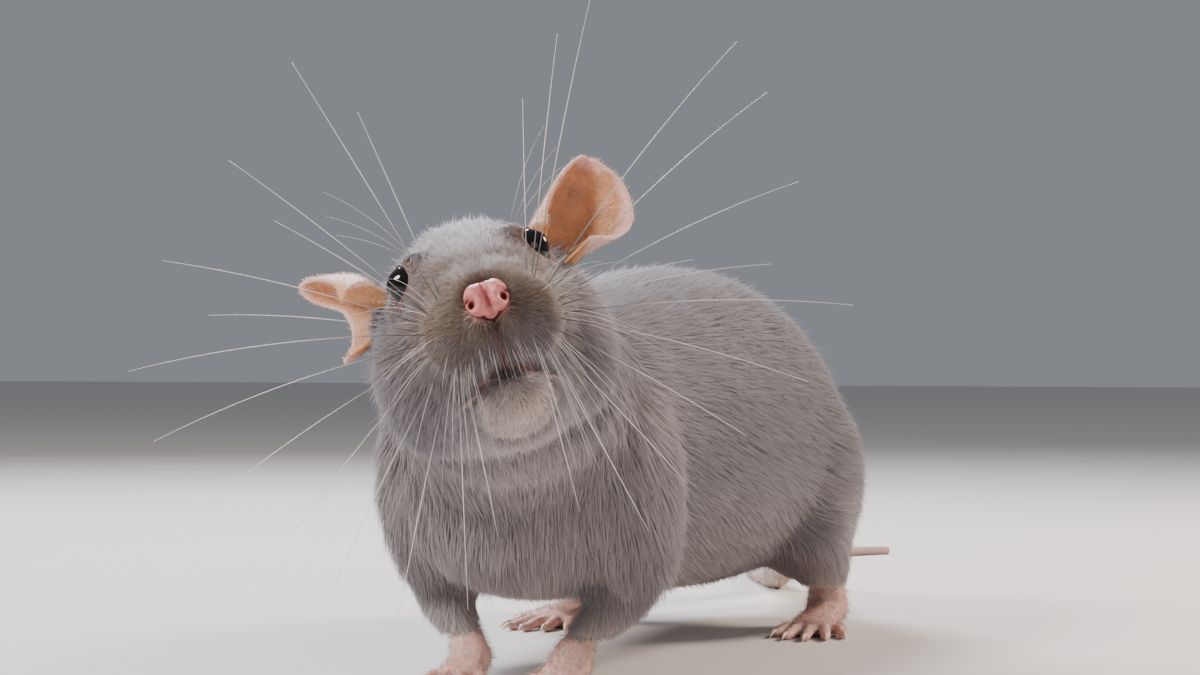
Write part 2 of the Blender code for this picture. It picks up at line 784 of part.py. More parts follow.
def whisker(side, order, angle, length):
    """One whisker, which leaves its pad at an angle above the level, sweeps back and bends down."""
    out = Vector((side * math.cos(angle), 0, math.sin(angle)))
    x, y, z = WHISKER_PAD["centre"]
    root = Vector((side * x, y - 1.6 + 1.5 * (order % 3), z)) + out * 2.6
    sweep = WHISKER_SWEEP * (0.35 + 0.65 * math.cos(angle) ** 2)
    points, sizes = [], []
    for i in range(WHISKER_STEPS + 1):
        t = i / WHISKER_STEPS
        bend = Vector((0, sweep * t * t, -WHISKER_BEND * math.cos(angle) * (t * t - t)))
        points.append(root + (out * t + bend) * length)
        radius = WHISKER_RADIUS + (WHISKER_TIP_RADIUS - WHISKER_RADIUS) * t**1.4
        sizes.append((radius, radius))
    return tube(points, sizes, "whisker", WHISKER_SIDES, HEAD, 0.0)


def ear_frame(word):
    """The frame of an ear: x to its fore rim, y out of its hollow, z from its root to its tip."""
    side = 1 if word == "left" else -1
    pointing, turn, _, _ = EAR_POSE[word]
    along = Vector(pointing).normalized()
    fore = Vector((-0.6, 0.0, 0.8))
    fore = (fore - along * fore.dot(along)).normalized()
    fore = Matrix.Rotation(math.radians(-turn), 3, along) @ fore
    hollow = along.cross(fore)
    place = Matrix((fore, hollow, along)).transposed().to_4x4()
    place.translation = EAR_ROOT
    return HEAD @ Matrix.Diagonal((side, 1, 1, 1)) @ place


def passed(along, stretch):
    """How much of a stretch of the ear's length is passed, with a smooth start and end."""
    start, end = stretch
    share = min(1.0, max(0.0, (along - start) / (end - start)))
    return share * share * (3 - 2 * share)


def ear_point(word, station, across):
    """A place on the ear's shell: across runs from the hind rim (-1) to the fore rim (1)."""
    along, hind_reach, fore_reach, hind_curl, fore_curl = station
    _, _, folded, widened = EAR_POSE[word]
    lobe = widened * (1 - passed(along, EAR_LOBE))
    hind_reach *= 1 + lobe - folded * passed(along, EAR_FOLD)
    hind_curl *= 1 - EAR_UNCURLED * lobe
    reach, curl = (fore_reach, fore_curl) if across > 0 else (hind_reach, hind_curl)
    radius = reach / math.sin(min(curl, math.pi / 2))
    turn = curl * abs(across)
    bowl = EAR_BOWL * math.sin(math.pi * max(along, 0.0) ** 0.8)
    return Vector(
        (
            math.copysign(radius * math.sin(turn), across),
            radius * (1 - math.cos(turn)) - bowl,
            EAR_LONG * along,
        )
    )


def ear_node(word, clear_of):
    """One ear: a thin cup, rolled in along its fore rim, that opens to a round shell."""
    bm = bmesh.new()
    rows = smooth_rows(EAR_STATIONS, 2)
    rows.insert(0, (-EAR_SUNK, *rows[0][1:]))
    grid = []
    for row in rows:
        spread = [2 * k / EAR_STEPS_ACROSS - 1 for k in range(EAR_STEPS_ACROSS + 1)]
        grid.append([bm.verts.new(ear_point(word, row, across)) for across in spread])
    for low, high in zip(grid, grid[1:]):
        for k in range(EAR_STEPS_ACROSS):
            bm.faces.new((low[k], low[k + 1], high[k + 1], high[k]))
    bmesh.ops.transform(bm, matrix=ear_frame(word), verts=bm.verts)
    ear = add_object(f"ear_{word}", mesh_from(bm, f"ear_{word}"))
    shell = ear.modifiers.new("shell", "SOLIDIFY")
    shell.thickness = EAR_THICKNESS * MM
    shell.offset = 0.0
    mesh = evaluated_copy(ear, ear.name)
    ear.modifiers.clear()
    ear.data = mesh
    return boolean(ear, [grown(obj) for obj in clear_of], "DIFFERENCE")


def paw(sizes, name, side, place, turn, top):
    """A paw: palm, ankle stub, and a row of toes with claws, flat below and flat at its top."""
    frame = (
        ROW
        @ Matrix.Translation((*mirrored(place, side), -PAW_SUNK))
        @ Matrix.Rotation(math.radians(-turn) * side, 4, "Z")
    )
    rows = smooth_rows(sizes["palm"], 2)
    points = [(0, row[0], row[1]) for row in rows]
    palm = tube(points, [row[2:] for row in rows], name, PAW_SIDES, frame, 0.5)
    low, high, top_height, radius = sizes["stub"]
    stub = [(low[0] * side, low[1], radius * 0.75), (high[0] * side, high[1], top_height)]
    parts = [tube(stub, [(radius, radius)] * 2, "stub", PAW_SIDES, frame, 0.3)]
    count = len(sizes["digits"])
    for i, length in enumerate(sizes["digits"]):
        parts += toe(sizes, frame, side, i - (count - 1) / 2, length)
    boolean(palm, parts, "UNION")
    node = cell_of(
        palm.data,
        [(Vector((0, 0, 0)), Vector((0, 0, -1))), plane(ROW, (0, 0, top), (0, 0, 1))],
        f"{name}_node",
    )
    bpy.data.objects.remove(palm)
    node.name = name
    return node


def toe(sizes, frame, side, rank, length):
    """One toe and its claw. Rank counts from the middle toe."""
    fan = math.radians(sizes["fan"]) * rank
    ahead = Vector((math.sin(fan), -math.cos(fan), 0))
    thick = sizes["radius"]
    root = Vector((sizes["spread"] * rank, sizes["knuckle"] + abs(rank) * 0.7, thick * 1.25))
    knee = root + ahead * length * 0.45 + Vector((0, 0, 0.35))
    tip = root + ahead * length + Vector((0, 0, -thick * 0.42))
    digit = tube(
        [root - ahead * 1.5, root, knee, tip],
        [(thick, thick), (thick, thick), (thick * 0.92, thick * 0.92), (thick * 0.8, thick * 0.82)],
        "digit",
        DIGIT_SIDES,
        frame,
        0.6,
    )
    claw_root = tip + ahead * thick * 0.1 + Vector((0, 0, thick * 0.3))
    claw_end = claw_root + ahead * (thick * 0.6 + sizes["claw"]) + Vector((0, 0, -thick * 0.55))
    claw_middle = claw_root.lerp(claw_end, 0.55) + Vector((0, 0, 0.2))
    claw = tube(
        [claw_root, claw_middle, claw_end],
        [(0.42, 0.46), (0.34, 0.38), (0.14, 0.14)],
        "claw",
        5,
        frame,
        0.0,
    )
    return [digit, claw]


def tail_path():
    """Points and radii along the tail, which comes down from the rump and lies on the floor."""
    points, radii = [], []
    x, y, z = TAIL_ROOT
    step = TAIL_LENGTH / TAIL_STEPS
    for i in range(TAIL_STEPS + 1):
        t = i / TAIL_STEPS
        radius = TAIL_ROOT_RADIUS + (TAIL_TIP_RADIUS - TAIL_ROOT_RADIUS) * t**0.85
        drop = min(1.0, t / TAIL_DROP_END)
        high = radius * TAIL_FLAT + (TAIL_ROOT[2] - radius) * (1 - drop * drop * (3 - 2 * drop))
        heading = math.radians(TAIL_BENDS[0] * math.sin(math.pi * min(t, 0.5)) ** 2)
        heading += math.radians(TAIL_BENDS[1] * max(0.0, t - 0.35) ** 1.5 * 2.2)
        if i:
            level = math.sqrt(max(step**2 - (high - z) ** 2, (0.4 * step) ** 2))
            x += math.sin(heading) * level
            y += math.cos(heading) * level
        z = high
        points.append(Vector((x, y, z)))
        radii.append(radius)
    return points, radii


def tail_nodes(rump):
    """The tail in four lengths, each with a flat below where it lies on the floor."""
    points, radii = tail_path()
    whole = tube(points, [(radius, radius) for radius in radii], "tail", TAIL_SIDES)
    floor = (Vector((0, 0, 0)), Vector((0, 0, -1)))
    share = TAIL_STEPS // len(TAIL_PARTS)
    nodes = {}
    for i, name in enumerate(TAIL_PARTS):
        planes = [floor]
        for at, sense in ((i * share, -1), ((i + 1) * share, 1)):
            if 0 < at < TAIL_STEPS:
                along = (points[at + 1] - points[at - 1]).normalized() * sense
                planes.append(plane(ROW, points[at], along))
        nodes[name] = cell_of(whole.data, planes, name)
    bpy.data.objects.remove(whole)
    boolean(nodes[TAIL_PARTS[0]], [grown(rump)], "DIFFERENCE")
    return nodes


def centre_on_origin(objects):
    """Moves all the meshes so that the whole stands over the origin."""
    low, high = [0.0, 0.0], [0.0, 0.0]
    for axis in (0, 1):
        along = [vert.co[axis] for obj in objects for vert in obj.data.vertices]
        low[axis], high[axis] = min(along), max(along)
    middle = Vector(((low[0] + high[0]) / 2, (low[1] + high[1]) / 2, 0))
    for obj in objects:
        obj.data.transform(Matrix.Translation(-middle))


def finish_of(name):
    """The colour and roughness of a node, by its name."""
    for start, found in FINISHES.items():
        if name.startswith(start):
            return found
    return FUR, 0.9


def main():
    clear_scene()
    flesh = flesh_master()
    nodes = trunk_nodes(thinned(flesh, BODY_SHARE, "body"))
    nodes |= head_nodes(thinned(flesh, HEAD_SHARE, "head"))
    for side, word in SIDES:
        nodes[f"ear_{word}"] = ear_node(word, [nodes["head"], nodes["neck"]])
        name = f"forepaw_{word}"
        nodes[name] = paw(FOREPAW, name, side, FOREPAW_PLACE, FOREPAW_TURN, WRIST_HEIGHT)
        name = f"hind_foot_{word}"
        nodes[name] = paw(HIND_FOOT, name, side, HIND_FOOT_PLACE, HIND_FOOT_TURN, ANKLE_HEIGHT)
    nodes |= tail_nodes(nodes["rump"])
    centre_on_origin(nodes.values())
    for name, obj in nodes.items():
        obj.name = name
        obj.data.name = name
        finish(obj, *finish_of(name))


main()
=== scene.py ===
import json
import math

import bmesh
import bpy
import numpy as np
from bpy.props import FloatProperty, FloatVectorProperty, IntProperty, PointerProperty
from mathutils import Matrix, Vector
from mathutils.bvhtree import BVHTree

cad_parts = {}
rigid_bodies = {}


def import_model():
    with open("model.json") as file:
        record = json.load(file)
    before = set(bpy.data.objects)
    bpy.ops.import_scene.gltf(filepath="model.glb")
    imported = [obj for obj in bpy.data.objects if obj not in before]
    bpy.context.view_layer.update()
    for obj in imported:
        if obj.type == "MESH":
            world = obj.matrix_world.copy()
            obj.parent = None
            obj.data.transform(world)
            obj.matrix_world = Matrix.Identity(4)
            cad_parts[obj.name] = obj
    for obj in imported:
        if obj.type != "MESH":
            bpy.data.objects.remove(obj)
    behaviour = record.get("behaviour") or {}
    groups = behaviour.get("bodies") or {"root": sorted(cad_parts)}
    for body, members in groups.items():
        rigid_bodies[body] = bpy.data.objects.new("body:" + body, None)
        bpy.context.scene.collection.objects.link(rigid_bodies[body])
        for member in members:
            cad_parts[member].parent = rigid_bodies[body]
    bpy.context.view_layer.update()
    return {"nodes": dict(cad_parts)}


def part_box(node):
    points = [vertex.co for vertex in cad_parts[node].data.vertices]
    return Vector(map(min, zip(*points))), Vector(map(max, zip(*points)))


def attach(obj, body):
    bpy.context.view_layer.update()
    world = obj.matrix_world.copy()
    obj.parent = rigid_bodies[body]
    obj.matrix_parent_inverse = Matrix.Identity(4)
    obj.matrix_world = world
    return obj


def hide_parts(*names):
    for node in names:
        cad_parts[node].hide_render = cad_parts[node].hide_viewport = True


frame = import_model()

bl_info = {
    "name": "Standing rat",
    "version": (1, 0, 0),
    "blender": (4, 5, 0),
    "location": "View3D > Sidebar > Rat",
    "description": "Skin, coat, eyes, nose, claws and whiskers of a standing rat, and its stage",
    "category": "Add Mesh",
}

MM = 0.001
# Further in millimetres than any feature reaches.
FAR = 99.0
SIDES = ((1, "left"), (-1, "right"))

# The head's own frame: x to its left, -y ahead, z up, its origin midway between the eyes.
HEAD_PLACE = (6.5, -43.2, 71.2)
HEAD_YAW, HEAD_PITCH, HEAD_ROLL = 20.0, -14.5, -17.5

# The muzzle in the head's frame: y, top, bottom and half width, and a whisker pad on each side.
MUZZLE = (
    (-21.6, -9.4, -15.2, 2.6),
    (-20.0, -7.0, -18.2, 5.0),
    (-17.4, -4.4, -20.4, 7.6),
    (-14.0, -1.7, -21.6, 9.6),
    (-10.0, 1.4, -22.8, 11.4),
    (-5.0, 4.8, -25.4, 13.4),
)
WHISKER_PAD = (5.7, -15.6, -14.4)
PAD_RADII = (5.4, 5.0, 6.6)
# The nose: where it is and how its nearness spreads, the middle and radii of each ball of the
# pad, and x and z of a nostril and of its slit.
NOSE_PLACE, NOSE_SPREAD = (0.0, -21.4, -11.6), (1.25, 1.2, 1.25)
NOSE_LOBE = ((1.6, -21.1, -11.25), (1.9, 2.25, 2.6))
NOSE_BRIDGE = ((0.0, -20.6, -10.1), (2.7, 2.25, 1.6))
NOSE_STEM = ((0.0, -20.6, -13.0), (1.35, 1.9, 1.5))
NOSTRIL, NOSTRIL_SLIT = (2.55, -11.9), (3.45, -11.15)
# The height of the mouth line in the middle, its fall to the corners, and the gap below it; the
# ends of the cleft over it; the chin; and the limits of the face, which has finer faces.
MOUTH_MIDDLE, MOUTH_FALL, MOUTH_HALF_WIDTH, MOUTH_GAP = -19.8, 2.4, 9.0, 2.8
CLEFT_TOP, CLEFT_BOTTOM = -13.6, -21.0
CHIN_PLACE, CHIN_RADII = (0.0, -12.6, -27.0), (4.6, 6.0, 3.4)
FACE_REAR, FACE_BOTTOM, FACE_TOP, FACE_HALF_WIDTH = 4.0, -34.0, 9.0, 22.0

# The left eye: its middle, its radius and the way it faces; how far the lids stand open, in
# degrees from that way; and the lids' own size.
EYE_PLACE = (10.1, -0.9, -0.2)
EYE_RADIUS = 3.35
EYE_OUT = (0.88, -0.40, 0.26)
LID_OPEN = {"side": 78.0, "top": 66.0, "bottom": 68.0}
LID_THICK, LID_WIDE = 0.24, 0.5
# The cornea bulges from this share of the eye's radius outward, and stands this high.
CORNEA_EDGE, CORNEA_HEIGHT = 0.72, 0.22

# Ear stations from root to tip: the share of the ear's length, the reach of its hind and fore
# rims and how far each curls, in radians. The fore rim faces EAR_FORE before the turn. Each ear:
# the way its tip points, its turn about that line, how far its hind rim draws in, and how much
# wider its lobe is at the root.
EAR_ROOT = (15.0, 12.6, 2.1)
EAR_LONG, EAR_BOWL, EAR_SUNK, EAR_FUNNEL = 18.5, 2.6, 0.3, 0.3
EAR_THICK, EAR_RIM, EAR_FORE = 0.55, 0.52, (-0.6, 0.0, 0.8)
EAR_STATIONS = (
    (0.0, 6.4, 4.4, 1.9, 2.7),
    (0.2, 9.2, 4.3, 1.2, 2.4),
    (0.45, 10.6, 3.8, 0.8, 2.1),
    (0.7, 9.0, 3.0, 0.6, 1.8),
    (0.88, 6.0, 2.0, 0.5, 1.5),
    (1.0, 1.4, 0.8, 0.5, 1.2),
)
EAR_POSE = {
    "left": ((0.57, 0.22, 0.79), 4.0, 0.0, 0.0),
    "right": ((0.61, 0.62, 0.49), -34.0, 0.75, 0.35),
}
# The stretches of an ear's length, as shares, over which its hind rim draws in and its lobe ends,
# and how far a wide lobe uncurls.
EAR_DRAWN, EAR_LOBE, EAR_UNCURLED = (-0.1, 0.62), (-0.05, 0.3), 0.5
# Low ridges in the hollow: their height, how closely they follow each other and their slant.
RIDGE_HEIGHT, RIDGE_TURN, RIDGE_SLANT = 0.35, 9.0, 2.0
# From where on the ear's reach, and on its length, the pale rim begins and is full.
RIM_EDGE, RIM_TIP = (0.78, 0.98), (0.86, 0.98)

# Paws in their own frame, as the solids have them. The wrist draws in over its last stretch
# and rises into the furred limb.
PAW_SUNK = 0.4
WRIST_DROP, WRIST_DRAWN, WRIST_RISE, WRIST_NARROW = 3.5, 0.18, 3.5, 0.7
FOREPAW = {
    "place": (9.0, -2.4), "turn": -3.0, "spread": 2.5, "knuckle": -5.0,
    "digits": (4.6, 6.0, 6.2, 4.9), "fan": 13.0, "radius": 1.15, "claw": 1.5,
}
HIND_FOOT = {
    "place": (25.5, 112.0), "turn": -7.0, "spread": 2.25, "knuckle": -21.5,
    "digits": (6.8, 10.6, 11.4, 10.6, 7.4), "fan": 9.0, "radius": 1.35, "claw": 2.0,
}

# The radius of a claw at its tip, and how much it grows to the root.
CLAW_TIP, CLAW_GROWTH = 0.12, 0.42

# The tail: the share of its length over which it comes down to the floor, how high its middle
# lies there in radii, the degrees of its two bends and the depth of its grooves.
TAIL_ROOT = (0.0, 141.0, 28.0)
TAIL_LENGTH = 190.0
TAIL_ROOT_RADIUS, TAIL_TIP_RADIUS, TAIL_TAPER = 5.2, 1.2, 0.85
TAIL_DROP_END, TAIL_FLAT, TAIL_STEPS = 0.36, 0.88, 40
TAIL_BENDS = (-30.0, 62.0)
TAIL_GROOVE = 0.2

# Whiskers of each pad: the angle above the level in the head's frame, and the length. They sweep
# back and hang by these shares of their length. Their roots stand on a ring round the middle of
# the pad, in three ranks from front to back.
WHISKERS = {
    "right": (
        (77, 50), (84, 38), (57, 45), (51, 32), (34, 46), (25, 37), (13, 49),
        (0, 47), (-16, 50), (-34, 47), (-47, 46), (-61, 45), (-75, 40), (-84, 29),
    ),
    "left": (
        (62, 52), (67, 45), (74, 34), (37, 55), (28, 52), (12, 47), (3, 25),
        (-3, 37), (-13, 49), (-30, 42), (-46, 36), (-64, 33), (-79, 36), (-93, 29),
    ),
}
WHISKER_SWEEP, WHISKER_BEND = 0.16, 0.10
WHISKER_RING, FIRST_RANK, RANK_GAP = 2.6, -1.6, 1.5
PAD_BRISTLES, BROW_BRISTLES, FRINGE_HAIRS = 26, 3, 48

# How much darker a hair is at its root, as painted shade deep in the coat, and paler at its tip,
# as a painted highlight, both partly the hair's own banding. Each blade's widths from its root on,
# as shares, by its number of segments. How often a longer guard hair grows.
HAIR_ROOT_SHADE_TIP_LIGHT = (0.52, 1.35)
BLADE_WIDTHS = {2: (0.9, 0.95), 3: (0.75, 1.0, 0.72)}
GUARD_SHARE = 0.07
PIECE_TRIANGLES = 195000

# Lift in degrees, the grain of the locks in millimetres, how far the locks lean together, how
# far single hairs stray, and the segments of a blade.
HAIR_STYLES = {
    "coat_face": {"lift": 20.0, "lock_grain": 2.6, "lock_lean": 0.16, "stray": 0.16, "segments": 2},
    "coat_body": {"lift": 14.0, "lock_grain": 6.5, "lock_lean": 0.10, "stray": 0.08, "segments": 3},
    "coat_root": {"lift": 12.0, "lock_grain": 5.0, "lock_lean": 0.1, "stray": 0.1, "segments": 3},
    "fuzz": {"lift": 24.0, "lock_grain": 3.0, "lock_lean": 0.2, "stray": 0.25, "segments": 2},
}
# Ears, paws and tail: their share of the sparse hairs and the length of these.
FUZZ = {"ear": (0.4, 1.0), "paw": (0.4, 1.9), "tail": (0.2, 3.0)}

# The coat's map: for head and trunk, where along y a sleeve starts, its length and the height of
# its axis; the axes of the limbs and the y that parts fore from hind; the size of a hair's patch.
HEAD_SLEEVE, TRUNK_SLEEVE = (-25.0, 60.0, -11.0), (-40.0, 360.0, 38.0)
FORE_AXIS, HIND_AXIS, LIMB_PARTING = (14.0, 2.0), (26.0, 104.0), 50.0
HAIR_PATCH = 0.003

# Where regions fade out, in millimetres along an axis of the head's frame or of the row's. The
# head ends at the neck along its own y, and is above a height and before a y of the row.
HEAD_TO_NECK, HEAD_ABOVE, HEAD_BEFORE = (12.0, 30.0), (30.0, 40.0), (-20.0, -6.0)
MOUTH_BEFORE, CLEFT_BEFORE = -6.0, -12.0
LIPS_WITHIN, LIPS_BEFORE = (3.5, 7.5), (-9.0, -5.0)
LOW_LIMBS_BELOW, FORE_LIMBS_TO, HIND_LIMBS_FROM = (7.0, 24.0), (22.0, 30.0), (74.0, 84.0)
BELLY_BELOW, CHEST_BELOW, CHEST_BEFORE = (12.0, 40.0), (44.0, 64.0), (-12.0, 24.0)
MUZZLE_BEFORE, MUZZLE_ABOVE, THROAT_BELOW = (-18.0, 5.0), (-27.0, -9.0), (-30.0, -22.0)
PALE_FEET_BELOW, PALE_ROUND_EAR = (6.0, 15.0), 7.0

# How far the face is cut in, how far its forms swell, and how deep the creases round them are.
CLEFT_DEPTH, MOUTH_DEPTH = 1.3, 1.7
LIP_SWELL, CLEFT_SIDE_SWELL, PAD_SWELL, CHIN_SWELL = 0.45, 0.5, 0.7, 0.8
PAD_CREASE, CHIN_CREASE, PAD_PIMPLES = 0.3, 0.5, 0.14
NOSTRIL_DEPTH, NOSE_GROOVE_DEPTH, NOSTRIL_RIM = 2.0, 0.75, 0.22

# The flesh swells by this much so that the cuts between the solids close; the skin gives it back.
SWELL = 0.3

# The parts of the skin, as its vertices are marked.
PARTS = {"body": 0.0, "ear": 1.0, "lid": 2.0, "paw": 3.0, "tail": 4.0}

FLESH = (
    "head", "muzzle", "lower_jaw", "neck", "chest", "abdomen", "rump",
    "upper_arm_left", "upper_arm_right", "forearm_left", "forearm_right",
    "thigh_left", "thigh_right", "shank_left", "shank_right",
)
PAWS = ("forepaw_left", "forepaw_right", "hind_foot_left", "hind_foot_right")
TAIL = ("tail_base", "tail_front", "tail_middle", "tail_tip")
EARS = ("ear_left", "ear_right")

# Studio lamps: place from the head in metres, width, power in watts and colour.
LAMPS = {
    "key": ((-0.55, -0.42, 0.55), 0.30, 12.0, "#fff6ee"),
    "rim": ((-0.35, 0.55, 0.50), 0.30, 9.0, "#eef2ff"),
    "back": ((0.45, 0.50, 0.35), 0.25, 7.0, "#ffe9d6"),
    "fill": ((0.70, -0.50, 0.35), 0.6, 2.6, "#ffeee8"),
}
FLOOR_COLOUR, BACKDROP_COLOUR, BACKDROP_STRENGTH = "#d3d0cc", "#c9cdd6", 0.4

# The camera stands level, a little to the rat's left, with a long lens.
CAMERA_AZIMUTH = math.radians(19.0)
CAMERA_DISTANCE, CAMERA_ASIDE, CAMERA_HEIGHT = 522.0, 13.3, 60.0
CAMERA_FOCAL_PIXELS, IMAGE_WIDTH, SENSOR_WIDTH = 2976.0, 1200.0, 36.0


def turned(yaw, pitch, roll):
    """A turn about z, then x, then y, in degrees."""
    return (
        Matrix.Rotation(math.radians(yaw), 4, "Z")
        @ Matrix.Rotation(math.radians(pitch), 4, "X")
        @ Matrix.Rotation(math.radians(roll), 4, "Y")
    )


def mirrored(place, side):
    """A place given for the left side, on the left (1) or the right (-1)."""
    return (place[0] * side, *place[1:])


def box_middle(name):
    """The middle of a node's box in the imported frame."""
    low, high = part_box(name)
    return (Vector(low) + Vector(high)) / 2


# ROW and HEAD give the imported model's metres for a place in the row's millimetres, whose origin
# is on the floor, or in the head's.
HEAD_IN_ROW = Matrix.Scale(MM, 4) @ Matrix.Translation(HEAD_PLACE) @ turned(
    HEAD_YAW, HEAD_PITCH, HEAD_ROLL
)
ROW_SHIFT = box_middle("eye_left") - HEAD_IN_ROW @ Vector(EYE_PLACE)
ROW_SHIFT.z = 0.0
ROW = Matrix.Translation(ROW_SHIFT) @ Matrix.Scale(MM, 4)
HEAD = Matrix.Translation(ROW_SHIFT) @ HEAD_IN_ROW


# Colour and shader helpers


def linear(code):
    """An sRGB hex colour as linear RGB."""
    values = [int(code[i : i + 2], 16) / 255 for i in (1, 3, 5)]
    return tuple(v / 12.92 if v <= 0.04045 else ((v + 0.055) / 1.055) ** 2.4 for v in values)


def add_node(material, kind, settings=None, inputs=None):
    """Adds a shader node with its settings; each input is given a value or another's output."""
    made = material.node_tree.nodes.new(kind)
    for key, value in (settings or {}).items():
        setattr(made, key, value)
    for key, value in (inputs or {}).items():
        if isinstance(value, bpy.types.NodeSocket):
            material.node_tree.links.new(value, made.inputs[key])
        else:
            made.inputs[key].default_value = value
    return made


def new_material(name, roughness, **constants):
    """A Principled material; constants name its sockets, with underscores for spaces."""
    made = bpy.data.materials.new(name)
    made.use_nodes = True
    shader = made.node_tree.nodes["Principled BSDF"]
    shader.inputs["Roughness"].default_value = roughness
    for key, value in constants.items():
        shader.inputs[key.replace("_", " ")].default_value = value
    return made, shader


def feed(material, output, shader, socket):
    """Links an output to one of the shader's sockets."""
    material.node_tree.links.new(output, shader.inputs[socket])


def tinted(material, shader):
    """Takes a material's colour from the mesh's own tint."""
    tint = add_node(material, "ShaderNodeAttribute", {"attribute_name": "tint"})
    feed(material, tint.outputs["Color"], shader, "Base Color")


def pitted(material, shader, pits):
    """Gives a material a bump from layers of noise or cells.

    Each of the pits is a texture's kind, its grain and its depth, both in millimetres.
    """
    place = add_node(material, "ShaderNodeTexCoord").outputs["Object"]
    normal = None
    for kind, grain, depth in pits:
        inputs = {"Vector": place, "Scale": 1 / (grain * MM)}
        if kind == "cells":
            height = add_node(material, "ShaderNodeTexVoronoi", None, inputs).outputs["Distance"]
        else:
            inputs["Detail"] = 3.0
            height = add_node(material, "ShaderNodeTexNoise", None, inputs).outputs["Fac"]
        inputs = {"Height": height, "Distance": depth * MM, "Strength": 1.0}
        if normal:
            inputs["Normal"] = normal
        normal = add_node(material, "ShaderNodeBump", None, inputs).outputs["Normal"]
    feed(material, normal, shader, "Normal")


# Mesh helpers


def add_piece(name, data):
    """Links a mesh or curve to the scene as an object."""
    made = bpy.data.objects.new(name, data)
    bpy.context.scene.collection.objects.link(made)
    return made


def place_piece(name, mesh, material, slot, *nodes):
    """Adds a piece that rides on the model and stands for some solids; the slot is not used."""
    mesh.materials.append(material)
    obj = add_piece(name, mesh)
    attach(obj, "root")
    if nodes:
        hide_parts(*nodes)


def baked(obj, name):
    """The mesh that an object's modifiers give; the object is removed."""
    graph = bpy.context.evaluated_depsgraph_get()
    mesh = bpy.data.meshes.new_from_object(obj.evaluated_get(graph))
    mesh.name = name
    bpy.data.objects.remove(obj)
    return mesh


def solid_bmesh(name):
    """A node's solid as a bmesh, its seams closed."""
    bm = bmesh.new()
    bm.from_mesh(frame["nodes"][name].data)
    bmesh.ops.remove_doubles(bm, verts=bm.verts, dist=1e-6)
    return bm


def mesh_from(bm, name):
    """A mesh from a bmesh, which is freed."""
    bmesh.ops.recalc_face_normals(bm, faces=bm.faces)
    mesh = bpy.data.meshes.new(name)
    bm.to_mesh(mesh)
    bm.free()
    return mesh


def remeshed(mesh, name, voxel, rounds):
    """A closed even mesh round everything in a mesh, smoothed some rounds."""
    obj = add_piece(name, mesh)
    remesh = obj.modifiers.new("melt", "REMESH")
    remesh.mode = "VOXEL"
    remesh.voxel_size = voxel * MM
    relax = obj.modifiers.new("relax", "SMOOTH")
    relax.factor = 0.5
    relax.iterations = rounds
    return baked(obj, name)


def united(mesh, others, name):
    """One closed surface round a mesh and some others."""
    obj = add_piece(name, mesh)
    group = bpy.data.collections.new("joined")
    for other in others:
        group.objects.link(bpy.data.objects.new("part", other))
    union = obj.modifiers.new("join", "BOOLEAN")
    union.operation = "UNION"
    union.operand_type = "COLLECTION"
    union.collection = group
    union.solver = "MANIFOLD"
    made = baked(obj, name)
    made.materials.clear()
    for part in list(group.objects):
        bpy.data.objects.remove(part)
    bpy.data.collections.remove(group)
    return made


def points_of(mesh):
    """A mesh's vertices and their normals as arrays."""
    count = len(mesh.vertices)
    places = np.empty(count * 3, np.float32)
    normals = np.empty(count * 3, np.float32)
    mesh.vertices.foreach_get("co", places)
    mesh.vertices.foreach_get("normal", normals)
    return places.reshape(-1, 3).astype(float), normals.reshape(-1, 3).astype(float)


def put_points(mesh, places):
    """Sets a mesh's vertices from an array."""
    mesh.vertices.foreach_set("co", places.astype(np.float32).ravel())
    mesh.update()


def in_frame(matrix, places):
    """Places in the units and axes of a frame."""
    inverse = np.array(matrix.inverted())
    return places @ inverse[:3, :3].T + inverse[:3, 3]


def from_frame(matrix, places):
    """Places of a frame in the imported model's metres."""
    full = np.array(matrix)
    return places @ full[:3, :3].T + full[:3, 3]


def unit(rows):
    """Rows scaled to a length of one."""
    return rows / (np.linalg.norm(rows, axis=-1, keepdims=True) + 1e-12)


def laid(along, out):
    """Directions laid along a surface, given its normals."""
    return unit(along - out * np.sum(along * out, axis=1, keepdims=True))


def ease(value, low, high):
    """0 below low, 1 above high and a smooth rise between."""
    share = np.clip((value - low) / (high - low), 0.0, 1.0)
    return share * share * (3 - 2 * share)


def near(distance, reach):
    """1 at no distance, falling smoothly to 0 at the reach."""
    return 1 - ease(distance, 0.0, reach)


def even(values, places):
    """The same colour or direction for every place."""
    return np.tile(np.array(values), (len(places), 1))


def mixed(one, other, share):
    """Rows between two rows or colours, by a share for each row."""
    return np.asarray(one) * (1 - share[:, None]) + np.asarray(other) * share[:, None]


def ripple(places, grain, seed):
    """Smooth noise of about -1 to 1 at each place, a sum of waves about a grain long."""
    rng = np.random.default_rng(seed)
    total = np.zeros(len(places))
    for _ in range(7):
        way = unit(rng.normal(size=3))
        waves = places @ way * 2 * math.pi / grain * rng.uniform(0.7, 1.5)
        total += np.sin(waves + rng.uniform(0, 6.3))
    return total / 2.6


def note(mesh, name, values):
    """Stores a value at each vertex."""
    layer = mesh.attributes.new(name, "FLOAT", "POINT")
    layer.data.foreach_set("value", np.asarray(values, np.float32))


def noted(mesh, name):
    """The values stored at the vertices."""
    values = np.empty(len(mesh.vertices), np.float32)
    mesh.attributes[name].data.foreach_get("value", values)
    return values


def mark(mesh, part):
    """Notes on every vertex which part of the animal it belongs to."""
    count = len(mesh.vertices)
    note(mesh, "part", np.full(count, PARTS[part]))
    if "groove" not in mesh.attributes:
        note(mesh, "groove", np.zeros(count))
    return mesh


